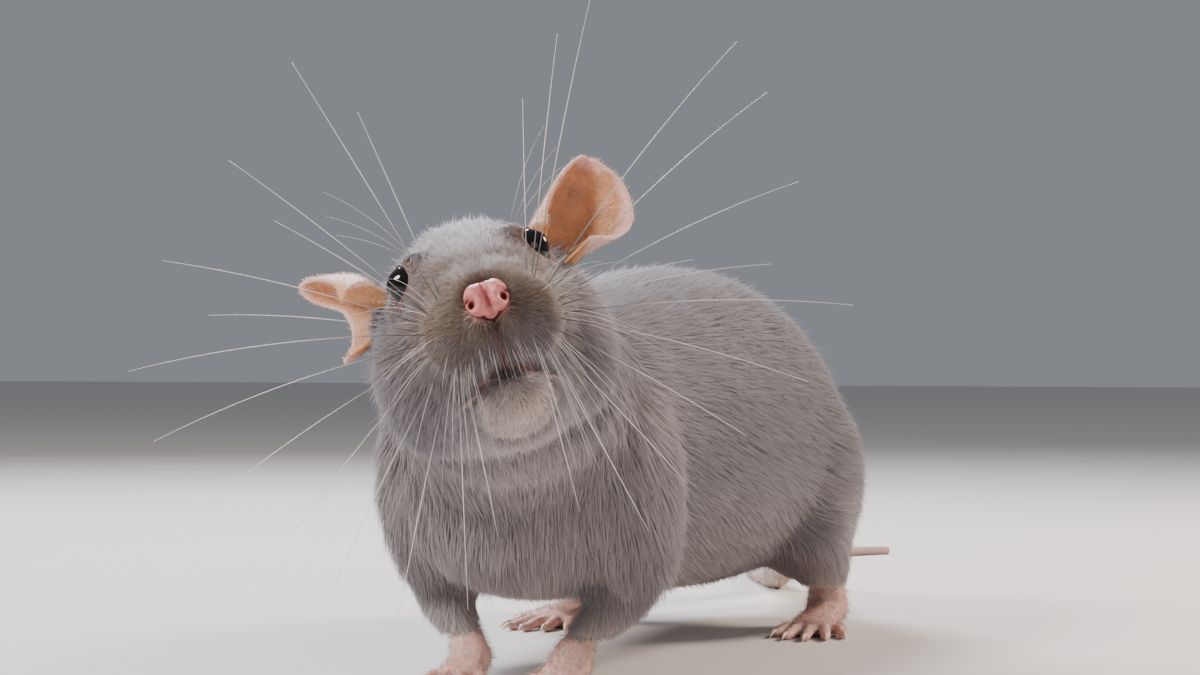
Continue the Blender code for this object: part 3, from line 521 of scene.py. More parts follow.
def set_tint(mesh, colours):
    """Stores a colour at each vertex for the material to read."""
    layer = mesh.color_attributes.new("tint", "FLOAT_COLOR", "POINT")
    full = np.ones((len(colours), 4), np.float32)
    full[:, :3] = colours
    layer.data.foreach_set("color", full.ravel())


def smooth_rows(rows, steps):
    """Rows read from a smooth curve through the given rows, some steps between each two."""
    out = []
    for i in range(len(rows) - 1):
        before = rows[max(i - 1, 0)]
        after = rows[min(i + 2, len(rows) - 1)]
        for step in range(steps):
            t = step / steps
            out.append(
                tuple(
                    0.5 * (2 * b + (c - a) * t + (2 * a - 5 * b + 4 * c - d) * t**2
                           + (3 * b - a - 3 * c + d) * t**3)
                    for a, b, c, d in zip(before, rows[i], rows[i + 1], after)
                )
            )
    out.append(tuple(rows[-1]))
    return out


def mesh_of_arrays(name, vertices, triangles):
    """A mesh of triangles from arrays."""
    mesh = bpy.data.meshes.new(name)
    mesh.vertices.add(len(vertices))
    mesh.vertices.foreach_set("co", vertices.astype(np.float32).ravel())
    mesh.loops.add(triangles.size)
    mesh.loops.foreach_set("vertex_index", triangles.astype(np.int32).ravel())
    mesh.polygons.add(len(triangles))
    mesh.polygons.foreach_set("loop_start", np.arange(0, triangles.size, 3, dtype=np.int32))
    mesh.update(calc_edges=True)
    return mesh


def spokes(across, other, sides):
    """The directions round a ring from two that cross at right angles, for each ring."""
    turn = (np.arange(sides) * 2 * math.pi / sides)[:, None]
    return across[..., None, :] * np.cos(turn) + other[..., None, :] * np.sin(turn)


def strands(name, paths, radii, root_tint, tip_tint, sides=6):
    """Thin closed tubes along rows of points, tinted from root to tip, as one mesh.

    Paths holds strand by step by place, radii holds strand by step, both in metres.
    """
    count, steps = radii.shape
    # The tubes' sides are set out from a slanting line that none of the strands follows.
    way = unit(np.gradient(paths, axis=1))
    across = unit(np.cross(way, np.array([0.31, 0.23, 0.92])))
    other = np.cross(way, across)
    rings = paths[:, :, None] + spokes(across, other, sides) * radii[:, :, None, None]
    per = steps * sides + 2
    vertices = np.concatenate([rings.reshape(count, -1, 3), paths[:, :1], paths[:, -1:]], 1)
    faces = []
    for k in range(sides):
        after = (k + 1) % sides
        faces.append((per - 2, after, k))
        faces.append((per - 1, (steps - 1) * sides + k, (steps - 1) * sides + after))
        for i in range(steps - 1):
            low, high = i * sides, (i + 1) * sides
            faces.append((low + k, low + after, high + after))
            faces.append((low + k, high + after, high + k))
    triangles = (np.arange(count)[:, None, None] * per + np.array(faces)[None]).reshape(-1, 3)
    mesh = mesh_of_arrays(name, vertices.reshape(-1, 3), triangles)
    share = np.concatenate([np.repeat(np.linspace(0, 1, steps), sides), [0.0, 1.0]])
    share = np.tile(share, count)
    set_tint(mesh, mixed(root_tint, tip_tint, ease(share, 0.1, 0.6)))
    mesh.shade_smooth()
    return mesh


# Where things are on the body. The limits of the regions are millimetres in the head's frame or
# in the row's, with x to the rat's left, y to the rear and z up.


def mouth_height(x):
    """The height of the mouth line at a distance from the middle: it falls to each side."""
    return MOUTH_MIDDLE - MOUTH_FALL * np.minimum(1.0, np.abs(x) / MOUTH_HALF_WIDTH) ** 1.3


def survey(places):
    """Where each place is, its share of head and lower limbs, and how near it is to each feature.

    Eye, ear and cleft are distances in millimetres, nose nearly so; pad and chin are 1 on their
    rims; mouth is 0 in the middle of the gap and 1 on the lips.
    """
    head = in_frame(HEAD, places)
    row = in_frame(ROW, places)
    in_head = 1 - ease(head[:, 1], *HEAD_TO_NECK)
    in_head *= ease(row[:, 2], *HEAD_ABOVE) * (1 - ease(row[:, 1], *HEAD_BEFORE))
    fore, hind = 1 - ease(row[:, 1], *FORE_LIMBS_TO), ease(row[:, 1], *HIND_LIMBS_FROM)
    low_limb = (1 - ease(row[:, 2], *LOW_LIMBS_BELOW)) * np.maximum(fore, hind)
    below_lip = mouth_height(head[:, 0]) - head[:, 2]
    mouth = np.abs(below_lip - MOUTH_GAP / 2) / MOUTH_GAP * 2
    level = np.abs(head * [1, 0, 0]) + head * [0, 1, 1]
    past_cleft = np.maximum(head[:, 2] - CLEFT_TOP, CLEFT_BOTTOM - head[:, 2])
    cleft = np.hypot(head[:, 0], np.maximum(past_cleft, 0))
    return {
        "head_place": head,
        "row_place": row,
        "head": in_head,
        "low_limb": low_limb * (1 - in_head),
        "eye": np.linalg.norm(level - EYE_PLACE, axis=1),
        "ear": np.linalg.norm(level - EAR_ROOT, axis=1),
        "nose": np.linalg.norm((head - NOSE_PLACE) / NOSE_SPREAD, axis=1),
        "mouth": np.where(head[:, 1] < MOUTH_BEFORE, mouth, FAR),
        "below_lip": below_lip,
        "cleft": np.where(head[:, 1] < CLEFT_BEFORE, cleft, FAR),
        "pad": np.linalg.norm((level - WHISKER_PAD) / PAD_RADII, axis=1),
        "chin": np.linalg.norm((head - CHIN_PLACE) / CHIN_RADII, axis=1),
    }


def coat_depth(where):
    """How far the skin lies below the tips of the coat, in millimetres."""
    head = where["head_place"]
    on_head = 0.5 + 1.5 * ease(head[:, 1], -19.0, 14.0)
    on_head *= 0.25 + 0.75 * ease(where["eye"], 3.6, 8.0)
    on_head *= 0.3 + 0.7 * ease(where["nose"], 2.5, 6.0)
    body = 1.9 - 1.3 * where["low_limb"]
    return on_head * where["head"] + body * (1 - where["head"])


def coat_colour(where, colours):
    """The colour of the coat at each place, in linear RGB.

    The back is dark, belly and chest are paler, the muzzle is browner, chin and lower limbs are
    pale, and the skin shows where no hair grows.
    """
    head, row = where["head_place"], where["row_place"]
    tone = even(colours.back, head)
    chest = (1 - ease(row[:, 1], *CHEST_BEFORE)) * (1 - ease(row[:, 2], *CHEST_BELOW))
    tone = mixed(tone, colours.belly, 0.9 * np.maximum(1 - ease(row[:, 2], *BELLY_BELOW), chest))
    on_head = even(colours.crown, head)
    edge = 2.2 * ripple(head, 4.0, 6)
    muzzle = 1 - ease(head[:, 1] + edge, *MUZZLE_BEFORE)
    muzzle *= ease(head[:, 2] + edge, *MUZZLE_ABOVE)
    on_head = mixed(on_head, colours.muzzle, muzzle)
    on_head = mixed(on_head, colours.belly, 1 - ease(head[:, 2], *THROAT_BELOW))
    on_head = mixed(on_head, colours.chin, 0.8 * near(where["chin"] - 0.3 + 0.08 * edge, 1.3))
    tone = mixed(tone, on_head, where["head"])
    feet = where["low_limb"] * (1 - ease(row[:, 2], *PALE_FEET_BELOW))
    tone = mixed(tone, colours.fuzz, 0.45 * feet)
    tone = tone * (1 + 0.05 * ripple(row, 26.0, 3) + 0.04 * ripple(row, 5.0, 4))[:, None]
    tone = mixed(tone, colours.fuzz, 0.4 * near(where["ear"], PALE_ROUND_EAR) * where["head"])
    tone = mixed(tone, colours.bare_skin, 0.85 * bareness(where))
    tone = mixed(tone, colours.lids, lid_edge(where))
    return mixed(tone, colours.lips, lips(where))


def lips(where):
    """Where the dark bare skin of the cleft and of the lips' inner edges shows; its darkness is
    partly painted shade in the cleft and along the mouth.
    """
    corner = 1 - ease(np.abs(where["head_place"][:, 0]), *LIPS_WITHIN)
    shown = np.maximum(near(where["cleft"], 0.8), near(where["mouth"], 1.0) * corner)
    return shown * where["head"] * (1 - ease(where["head_place"][:, 1], *LIPS_BEFORE))


def bareness(where):
    """How bare the skin is: beside the nose pad, along the lids and at the lips."""
    above_nose = ease(where["head_place"][:, 2], -12.0, -9.0)
    bare = np.maximum(near(where["nose"] - 2.4 + 0.6 * above_nose, 0.9), lid_edge(where))
    return np.maximum(bare * where["head"], lips(where))


def lid_edge(where):
    """Where the dark skin along the lids shows."""
    return near(where["eye"] - 3.7, 1.0) * where["head"]


# Skin


def core_mesh():
    """The solids' flesh, run together and freed of the whiskers' stems."""
    bm = bmesh.new()
    for name in FLESH:
        part = solid_bmesh(name)
        if name == "muzzle":
            drop_stems(part)
        part.normal_update()
        for vert in part.verts:
            vert.co += vert.normal * SWELL * MM
        mesh = bpy.data.meshes.new("part")
        part.to_mesh(mesh)
        part.free()
        bm.from_mesh(mesh)
        bpy.data.meshes.remove(mesh)
    mesh = bpy.data.meshes.new("core")
    bm.to_mesh(mesh)
    bm.free()
    return mesh


def drop_stems(bm):
    """Takes the whiskers off a copy of the muzzle and closes the holes."""
    table = np.array(MUZZLE)
    inverse = HEAD.inverted()
    gone = []
    for vert in bm.verts:
        x, y, z = inverse @ vert.co
        top, bottom, half = (np.interp(y, table[:, 0], table[:, i]) for i in (1, 2, 3))
        middle, tall = (top + bottom) / 2, (top - bottom) / 2
        round_muzzle = math.hypot(x / half, (z - middle) / tall)
        pad = Vector((abs(x) - WHISKER_PAD[0], y - WHISKER_PAD[1], z - WHISKER_PAD[2]))
        round_pad = Vector([pad[i] / PAD_RADII[i] for i in range(3)]).length
        # A stem is what stands clear of the round of the muzzle and of its pad.
        if round_muzzle > 1.13 and round_pad > 1.16:
            gone.append(vert)
    bmesh.ops.delete(bm, geom=gone, context="VERTS")
    bmesh.ops.holes_fill(bm, edges=[edge for edge in bm.edges if edge.is_boundary], sides=0)


def thinned(mesh):
    """Fewer faces behind the face, where the coat hides the skin."""
    obj = add_piece("skin", mesh)
    group = obj.vertex_groups.new(name="behind")
    behind = in_frame(HEAD, points_of(mesh)[0])[:, 1] > FACE_REAR + 3.0
    group.add(np.flatnonzero(behind).tolist(), 1.0, "REPLACE")
    fewer = obj.modifiers.new("fewer", "DECIMATE")
    fewer.ratio = 0.35
    fewer.vertex_group = "behind"
    fewer.vertex_group_factor = 10.0
    return baked(obj, "skin")


def finer_face(mesh):
    """Splits the faces of the face once, so that lips, lids and nose edge have room."""
    bm = bmesh.new()
    bm.from_mesh(mesh)
    inverse = HEAD.inverted()
    fine = [inverse @ vert.co for vert in bm.verts]
    fine = [
        place.y < FACE_REAR and FACE_BOTTOM < place.z < FACE_TOP and abs(place.x) < FACE_HALF_WIDTH
        for place in fine
    ]
    edges = [edge for edge in bm.edges if all(fine[vert.index] for vert in edge.verts)]
    bmesh.ops.subdivide_edges(bm, edges=edges, cuts=1, use_grid_fill=True)
    smooth = [vert for vert in bm.verts if (inverse @ vert.co).y < FACE_REAR + 0.5]
    for _ in range(2):
        bmesh.ops.smooth_vert(
            bm, verts=smooth, factor=0.5, use_axis_x=True, use_axis_y=True, use_axis_z=True
        )
    bm.to_mesh(mesh)
    bm.free()


def sculpt_face(mesh):
    """Cuts the cleft and the line of the mouth into the skin and fills the lips beside them."""
    places, normals = points_of(mesh)
    where = survey(places)
    head, cleft, pad, chin = (where[key] for key in ("head_place", "cleft", "pad", "chin"))
    front = 1 - ease(head[:, 1], -12.0, -6.0)
    mouth = near(where["mouth"], 1.3) * front
    # Cleft and mouth sink in; lips, pads and chin swell, with a crease round pads and chin.
    push = -CLEFT_DEPTH * near(cleft, 1.25) - MOUTH_DEPTH * mouth
    lip = near(np.abs(where["below_lip"] + 1.3), 1.5) * front * (1 - near(cleft, 1.2))
    push += LIP_SWELL * lip
    push += CLEFT_SIDE_SWELL * near(np.abs(cleft - 2.6), 1.7)
    push += PAD_SWELL * near(pad, 1.5)
    push -= PAD_CREASE * near(np.abs(pad - 1.75), 0.5) * (1 - mouth)
    push += CHIN_SWELL * near(chin, 1.2)
    push -= CHIN_CREASE * near(np.abs(chin - 1.55), 0.4) * (1 - mouth)
    push += PAD_PIMPLES * ripple(head, 2.3, 11) * near(pad, 1.3)
    # What is cut in moves straight back, and the rest moves along the skin's normals.
    ahead = unit(np.array(HEAD.to_3x3()) @ np.array([0.0, -1.0, 0.0]))
    way = np.where(((cleft < 1.0) | (mouth > 0.1))[:, None], ahead, normals)
    put_points(mesh, places + way * push[:, None] * MM)


def skin_mesh():
    """The skin under the coat: one closed mesh from muzzle to rump and down to the wrists."""
    mesh = thinned(remeshed(core_mesh(), "skin", voxel=0.9, rounds=12))
    places, normals = points_of(mesh)
    depth = coat_depth(survey(places)) + SWELL
    put_points(mesh, places - normals * depth[:, None] * MM)
    finer_face(mesh)
    sculpt_face(mesh)
    return mesh


def ear_frame(word):
    """The frame of an ear: x to its fore rim, y out of its hollow, z from its root to its tip."""
    side = 1 if word == "left" else -1
    pointing, turn, _, _ = EAR_POSE[word]
    along = Vector(pointing).normalized()
    fore = Vector(EAR_FORE)
    fore = (fore - along * fore.dot(along)).normalized()
    fore = Matrix.Rotation(math.radians(-turn), 3, along) @ fore
    hollow = along.cross(fore)
    place = Matrix((fore, hollow, along)).transposed().to_4x4()
    place.translation = EAR_ROOT
    return HEAD @ Matrix.Diagonal((side, 1, 1, 1)) @ place


def hind_share(word, along):
    """How far the hind rim reaches at places along an ear, as a share of an unfolded ear's."""
    _, _, drawn_in, swollen = EAR_POSE[word]
    return 1 + swollen * (1 - ease(along, *EAR_LOBE)) - drawn_in * ease(along, *EAR_DRAWN)


def ear_point(word, station, across):
    """A place on the ear's shell: across runs from the hind rim (-1) to the fore rim (1)."""
    along, hind_reach, fore_reach, hind_curl, fore_curl = station
    hind_reach *= float(hind_share(word, along))
    hind_curl *= 1 - EAR_POSE[word][3] * EAR_UNCURLED * float(1 - ease(along, *EAR_LOBE))
    reach, curl = (fore_reach, fore_curl) if across > 0 else (hind_reach, hind_curl)
    radius = reach / math.sin(min(curl, math.pi / 2))
    turn = curl * abs(across)
    bowl = EAR_BOWL * math.sin(math.pi * max(along, 0.0) ** 0.8)
    ridge = RIDGE_HEIGHT * math.sin(RIDGE_TURN * across + RIDGE_SLANT * along)
    ridge *= math.sin(math.pi * min(1, max(along, 0)))
    return Vector(
        (
            math.copysign(radius * math.sin(turn), across),
            radius * (1 - math.cos(turn)) - bowl + ridge * (1 - across * across),
            EAR_LONG * along,
        )
    )


def ear_mesh(word):
    """One ear: a thin cup, rolled in along its fore rim, with low ridges in its hollow."""
    bm = bmesh.new()
    rows = smooth_rows(EAR_STATIONS, 6)
    hind, fore, *curls = rows[0][1:]
    rows.insert(0, (-EAR_SUNK, hind * EAR_FUNNEL, fore * EAR_FUNNEL, *curls))
    steps = 28
    grid = []
    for row in rows:
        spread = [2 * k / steps - 1 for k in range(steps + 1)]
        grid.append([bm.verts.new(ear_point(word, row, across)) for across in spread])
    for low, high in zip(grid, grid[1:]):
        for k in range(steps):
            bm.faces.new((low[k], low[k + 1], high[k + 1], high[k]))
    bmesh.ops.transform(bm, matrix=ear_frame(word), verts=bm.verts)
    bmesh.ops.recalc_face_normals(bm, faces=bm.faces)
    rim = [row[0] for row in grid] + grid[-1][1:-1] + [row[-1] for row in reversed(grid)]
    path = np.array([[vert.co[:] for vert in rim]])
    sheet = bpy.data.meshes.new("ear")
    bm.to_mesh(sheet)
    bm.free()
    obj = add_piece("ear", sheet)
    shell = obj.modifiers.new("shell", "SOLIDIFY")
    shell.thickness = EAR_THICK * MM
    shell.offset = 0.0
    bm = bmesh.new()
    bm.from_mesh(baked(obj, "ear"))
    roll = strands("rim", path, np.full(path.shape[:2], EAR_RIM * MM), (1, 1, 1), (1, 1, 1), 8)
    bm.from_mesh(roll)
    return remeshed(mesh_from(bm, "ear"), "ear", voxel=0.36, rounds=3)


def ear_rim(places):
    """How near each place of an ear is to its rolled rim, 0 in the hollow and 1 on the rim."""
    side_of = np.sign(in_frame(HEAD, places)[:, 0])
    table = np.array(EAR_STATIONS)
    rim = np.zeros(len(places))
    for side, word in SIDES:
        local = in_frame(ear_frame(word), places)
        along = local[:, 2] / EAR_LONG
        hind = np.interp(along, table[:, 0], table[:, 1]) * hind_share(word, along)
        fore = np.interp(along, table[:, 0], table[:, 2])
        share = np.where(local[:, 0] > 0, local[:, 0] / fore, -local[:, 0] / hind)
        share = np.maximum(ease(share, *RIM_EDGE), ease(along, *RIM_TIP))
        rim = np.where(side_of == side, share, rim)
    return rim


def paw_mesh(name):
    """A paw of the solids, melted into soft pads and toes, its wrist drawn up into the sleeve."""
    bm = solid_bmesh(name)
    high = max(vert.co.z for vert in bm.verts)
    top = [face for face in bm.faces if min(vert.co.z for vert in face.verts) > high - 0.2 * MM]
    raised = bmesh.ops.extrude_face_region(bm, geom=top)["geom"]
    raised = [vert for vert in raised if isinstance(vert, bmesh.types.BMVert)]
    middle = sum((vert.co for vert in raised), Vector()) / len(raised)
    for vert in bm.verts:
        level = vert.co.z - middle.z + WRIST_DROP * MM
        if level > 0:
            share = 1 - WRIST_DRAWN * min(1.0, level / (WRIST_DROP * MM))
            vert.co.x = middle.x + (vert.co.x - middle.x) * share
            vert.co.y = middle.y + (vert.co.y - middle.y) * share
    limb = name.replace("forepaw", "forearm").replace("hind_foot", "shank")
    narrow = Matrix.Diagonal((WRIST_NARROW, WRIST_NARROW, 1, 1))
    lift = Matrix.Translation(middle + (box_middle(limb) - middle).normalized() * WRIST_RISE * MM)
    bmesh.ops.transform(bm, matrix=lift @ narrow @ Matrix.Translation(-middle), verts=raised)
    return remeshed(mesh_from(bm, "paw"), "paw", voxel=0.42, rounds=6)


def tail_path():
    """Points and radii along the tail, which comes down from the rump and lies on the floor."""
    points = []
    x, y, z = TAIL_ROOT
    step = TAIL_LENGTH / TAIL_STEPS
    for i in range(TAIL_STEPS + 1):
        t = i / TAIL_STEPS
        radius = TAIL_ROOT_RADIUS + (TAIL_TIP_RADIUS - TAIL_ROOT_RADIUS) * t**TAIL_TAPER
        drop = min(1.0, t / TAIL_DROP_END)
        high = radius * TAIL_FLAT + (TAIL_ROOT[2] - radius) * (1 - drop * drop * (3 - 2 * drop))
        heading = math.radians(TAIL_BENDS[0] * math.sin(math.pi * min(t, 0.5)) ** 2)
        heading += math.radians(TAIL_BENDS[1] * max(0.0, t - 0.35) ** 1.5 * 2.2)
        if i:
            level = math.sqrt(max(step**2 - (high - z) ** 2, (0.4 * step) ** 2))
            x += math.sin(heading) * level
            y += math.cos(heading) * level
        z = high
        points.append((x, y, z, radius))
    return points


def tail_mesh():
    """The tail, ringed with fine scale grooves, from inside the rump to its tip."""
    rows = np.array(smooth_rows(tail_path(), 12))
    # One more row lies inside the rump, so that the two run into each other.
    rows = np.vstack([rows[0] + [0, -8.0, 1.0, 0], rows])
    steps = len(rows)
    sides = 20
    rng = np.random.default_rng(5)
    way = unit(np.gradient(rows[:, :3], axis=0))
    across = unit(np.cross(way, [0.0, 0.0, 1.0]))
    over = np.cross(across, way)
    groove = (np.arange(steps) % 3 == 0)[:, None] * rng.uniform(0.6, 1.0, (steps, sides))
    radius = rows[:, 3:4] - 0.1 - TAIL_GROOVE * groove * np.clip(rows[:, 3:4] / 4.0, 0.35, 1)
    places = rows[:, None, :3] + spokes(across, over, sides) * radius[:, :, None]
    # Where the tail lies on the floor it is a little flattened.
    places[:, :, 2] = np.maximum(places[:, :, 2], 0.02)
    bm = bmesh.new()
    grid = [[bm.verts.new(place) for place in line] for line in places]
    for low, high in zip(grid, grid[1:]):
        for k in range(sides):
            bm.faces.new((low[k - 1], low[k], high[k], high[k - 1]))
    bm.faces.new(grid[0])
    tip = bm.verts.new(rows[-1, :3] + way[-1] * 1.0)
    for k in range(sides):
        bm.faces.new((grid[-1][k - 1], grid[-1][k], tip))
    bmesh.ops.transform(bm, matrix=ROW, verts=bm.verts)
    mesh = mesh_from(bm, "tail")
    note(mesh, "groove", np.append(groove.ravel(), 0.0))
    return mesh


def lid_mesh(side):
    """The lids of one eye: a soft rim that lies on the eyeball, drawn out at its corners."""
    out = Vector(mirrored(EYE_OUT, side)).normalized()
    up = (Vector((0, 0, 1)) - out * out.z).normalized()
    ahead = up.cross(out)
    steps, sides = 48, 10
    bm = bmesh.new()
    rings = []
    for i in range(steps):
        angle = 2 * math.pi * i / steps
        tall = LID_OPEN["top"] if math.sin(angle) > 0 else LID_OPEN["bottom"]
        opening = math.radians(tall + (LID_OPEN["side"] - tall) * math.cos(angle) ** 4)
        across = ahead * math.cos(angle) + up * math.sin(angle)
        spoke = out * math.cos(opening) + across * math.sin(opening)
        centre = Vector(mirrored(EYE_PLACE, side)) + spoke * (EYE_RADIUS + 0.12)
        rim = out * -math.sin(opening) + across * math.cos(opening)
        ring = []
        for k in range(sides):
            t = 2 * math.pi * k / sides
            place = centre + spoke * LID_THICK * math.cos(t) + rim * LID_WIDE * math.sin(t)
            ring.append(bm.verts.new(HEAD @ place))
        rings.append(ring)
    for i in range(steps):
        for k in range(sides):
            one, other = rings[i - 1], rings[i]
            bm.faces.new((one[k - 1], one[k], other[k], other[k - 1]))
    return mesh_from(bm, "lid")


def skin_colour(mesh, colours):
    """The skin's colour: the coat's markings darkened, and pink where it is bare."""
    places = points_of(mesh)[0]
    where, marks = survey(places), noted(mesh, "part")
    of_part = {name: near(np.abs(marks - value), 0.9) for name, value in PARTS.items()}
    row = where["row_place"]
    mottled = 1 + 0.10 * ripple(row, 5.0, 21) + 0.06 * ripple(row, 1.4, 22)
    bare = np.array(colours.bare_skin) * mottled[:, None]
    tone = mixed(coat_colour(where, colours) * 0.72, bare, of_part["paw"])
    # The hollow's amber is partly the ear's own skin, partly painted glow of light shining through
    # it.
    ear = mixed(np.array(colours.ear_skin_and_glow) * mottled[:, None], colours.ear_rim, ear_rim(places))
    tone = tone * (1 - of_part["ear"][:, None]) + ear * of_part["ear"][:, None]
    # The tail's grooves are darkened as painted shade, over the skin's own mottle.
    mottle_and_groove_shade = mottled * (1 - 0.4 * noted(mesh, "groove"))
    tone = mixed(tone, np.array(colours.tail) * mottle_and_groove_shade[:, None], of_part["tail"])
    lids = np.maximum(of_part["lid"], lid_edge(where))
    return mixed(tone, np.array(colours.lids), lids)


def skin_material():
    """Rat skin: thin, soft and faintly mottled, with fine creases.

    It is matt with a slight shine, and light passes a little way into it.
    """
    material, shader = new_material(
        "rat_skin", 0.55, Subsurface_Weight=0.5, Subsurface_Scale=0.0015, IOR=1.4
    )
    shader.inputs["Subsurface Radius"].default_value = (1.0, 0.4, 0.25)
    tinted(material, shader)
    pitted(material, shader, (("cells", 0.45, 0.05), ("noise", 1.2, 0.12)))
    return material


# Nose, eyes, claws and whiskers


def add_ball(bm, centre, radii):
    """Adds an ellipsoid of the head's frame to a bmesh."""
    made = bmesh.ops.create_icosphere(bm, subdivisions=4, radius=1.0)
    place = HEAD @ Matrix.Translation(centre) @ Matrix.Diagonal((*radii, 1.0))
    bmesh.ops.transform(bm, matrix=place, verts=made["verts"])


def nose_mesh():
    """The bare nose pad: two lobes with a comma-shaped nostril each, parted by a groove."""
    bm = bmesh.new()
    add_ball(bm, *NOSE_BRIDGE)
    add_ball(bm, *NOSE_STEM)
    for side, _ in SIDES:
        add_ball(bm, mirrored(NOSE_LOBE[0], side), NOSE_LOBE[1])
    mesh = remeshed(mesh_from(bm, "nose"), "nose", voxel=0.17, rounds=5)
    places, _ = points_of(mesh)
    head = in_frame(HEAD, places)
    # The nostrils and the groove sink in, the lobes draw in beside the slits, and a low rim
    # stands out round each nostril.
    x, y, z = np.abs(head[:, 0]), head[:, 1], head[:, 2]
    front = 1 - ease(y, -21.4, -20.2)
    hole = near(np.hypot((x - NOSTRIL[0]) / 0.8, (z - NOSTRIL[1]) / 1.0), 1.25)
    slant = 0.25 * (x - 3.4)
    slit = near(
        np.hypot((x - NOSTRIL_SLIT[0]) / 1.1, (z - NOSTRIL_SLIT[1] + slant) / 0.5), 1.2
    )
    pit = np.maximum(hole, 0.75 * slit) * (1 - ease(y, -19.6, -18.8))
    groove = near(x, 0.75) * front
    head[:, 1] += NOSTRIL_DEPTH * pit + NOSE_GROOVE_DEPTH * groove
    head[:, 0] += np.sign(head[:, 0]) * -0.25 * slit * front
    rim = near(np.abs(np.hypot((x - NOSTRIL[0]) / 0.9, z - NOSTRIL[1]) - 1.55), 0.6) * front
    head[:, 1] -= NOSTRIL_RIM * rim
    put_points(mesh, from_frame(HEAD, head))
    return mesh, pit, groove


def whisker_paths(steps=14):
    """The long whiskers of both pads, each from inside its pad, as strand by step by place."""
    t = np.linspace(0, 1, steps)[:, None]
    paths = []
    for side, word in SIDES:
        for order, (degrees, length) in enumerate(WHISKERS[word]):
            angle = math.radians(degrees)
            out = np.array([side * math.cos(angle), 0, math.sin(angle)])
            x, y, z = WHISKER_PAD
            root = np.array([side * x, y + FIRST_RANK + RANK_GAP * (order % 3), z])
            root += out * WHISKER_RING
            sweep = WHISKER_SWEEP * (0.35 + 0.65 * math.cos(angle) ** 2)
            bend = np.array([0, sweep, -WHISKER_BEND * math.cos(angle)])
            curve = t * t * bend - t * [0, 0, bend[2]]
            paths.append(root + (out * t + curve) * length)
    return np.array(paths)


def short_hairs(rng, steps=8):
    """Short bristles of the pads and the brows."""
    t = np.linspace(0, 1, steps)[:, None]
    paths = []
    for side, _ in SIDES:
        for _ in range(PAD_BRISTLES):
            angle = math.radians(rng.uniform(-95, 70))
            length = rng.uniform(6, 19)
            tilt = rng.uniform(-0.45, 0.1)
            out = unit(np.array([side * math.cos(angle), tilt, math.sin(angle)]))
            root = np.array([side * rng.uniform(4.6, 6.6), rng.uniform(-18.0, -13.0), -14.4])
            root += out * rng.uniform(2.0, 3.4)
            curve = np.array([0.0, 0.25, -0.35]) * t * t
            paths.append(root + (out * t + curve) * length)
        # Over each eye they stand up and outward, each shorter than the one before.
        for i in range(BROW_BRISTLES):
            root = np.array([side * (8.3 + 0.8 * i), -3.4 - 0.7 * i, 4.0])
            out = unit(np.array([side * (0.5 + 0.15 * i), -0.25, 1.0 - 0.1 * i]))
            curve = np.array([side * 0.1, 0.3, -0.1]) * t * t
            paths.append(root - out * 0.8 + (out * t + curve) * (20 - 4 * i))
    return np.array(paths)


def fringe(tree, rng, steps=7):
    """The pale hairs that curve down over the mouth, each from the skin of the upper lip."""
    t = np.linspace(0, 1, steps)[:, None]
    paths = []
    rearward = (HEAD.to_3x3() @ Vector((0, 1, 0))).normalized()
    for _ in range(FRINGE_HAIRS):
        x = rng.uniform(-8.0, 8.0)
        z = float(mouth_height(x)) + rng.uniform(0.3, 3.0)
        hit = tree.ray_cast(HEAD @ Vector((x, -40.0, z)), rearward)[0]
        if hit is None:
            continue
        root = np.array(HEAD.inverted() @ hit)
        out = unit(np.array([0.10 * x, -0.75, -0.75 - rng.uniform(0, 0.4)]))
        curve = np.array([-0.02 * x, 0.55, -0.55]) * t * t
        paths.append(root - out * 0.4 + (out * t + curve) * rng.uniform(2.5, 5.5))
    return np.array(paths)


def paw_frame(sizes, side):
    """The frame of a paw: its origin below the wrist, its toes along -y."""
    return (
        ROW
        @ Matrix.Translation((*mirrored(sizes["place"], side), -PAW_SUNK))
        @ Matrix.Rotation(math.radians(-sizes["turn"]) * side, 4, "Z")
    )


def claw_paths(steps=7):
    """A curved claw on each toe of the solids, as strand by step by place in metres."""
    t = np.linspace(0, 1, steps)[:, None]
    paths = []
    for sizes in (FOREPAW, HIND_FOOT):
        count = len(sizes["digits"])
        for side, _ in SIDES:
            for i, length in enumerate(sizes["digits"]):
                rank = i - (count - 1) / 2
                fan = math.radians(sizes["fan"]) * rank
                ahead = np.array([math.sin(fan), -math.cos(fan), 0])
                thick = sizes["radius"]
                knuckle = sizes["knuckle"] + abs(rank) * 0.7
                root = np.array([sizes["spread"] * rank, knuckle, thick * 1.25])
                tip = root + ahead * length + [0, 0, -thick * 0.42]
                start = tip + ahead * thick * 0.1 + [0, 0, thick * 0.3]
                reach = thick * 0.6 + sizes["claw"]
                curve = np.array([0, 0, 1.0]) * (0.9 * t - 1.5 * t * t) * thick
                path = start + ahead * reach * t + curve
                paths.append(from_frame(paw_frame(sizes, side), path))
    return np.array(paths)


# Coat


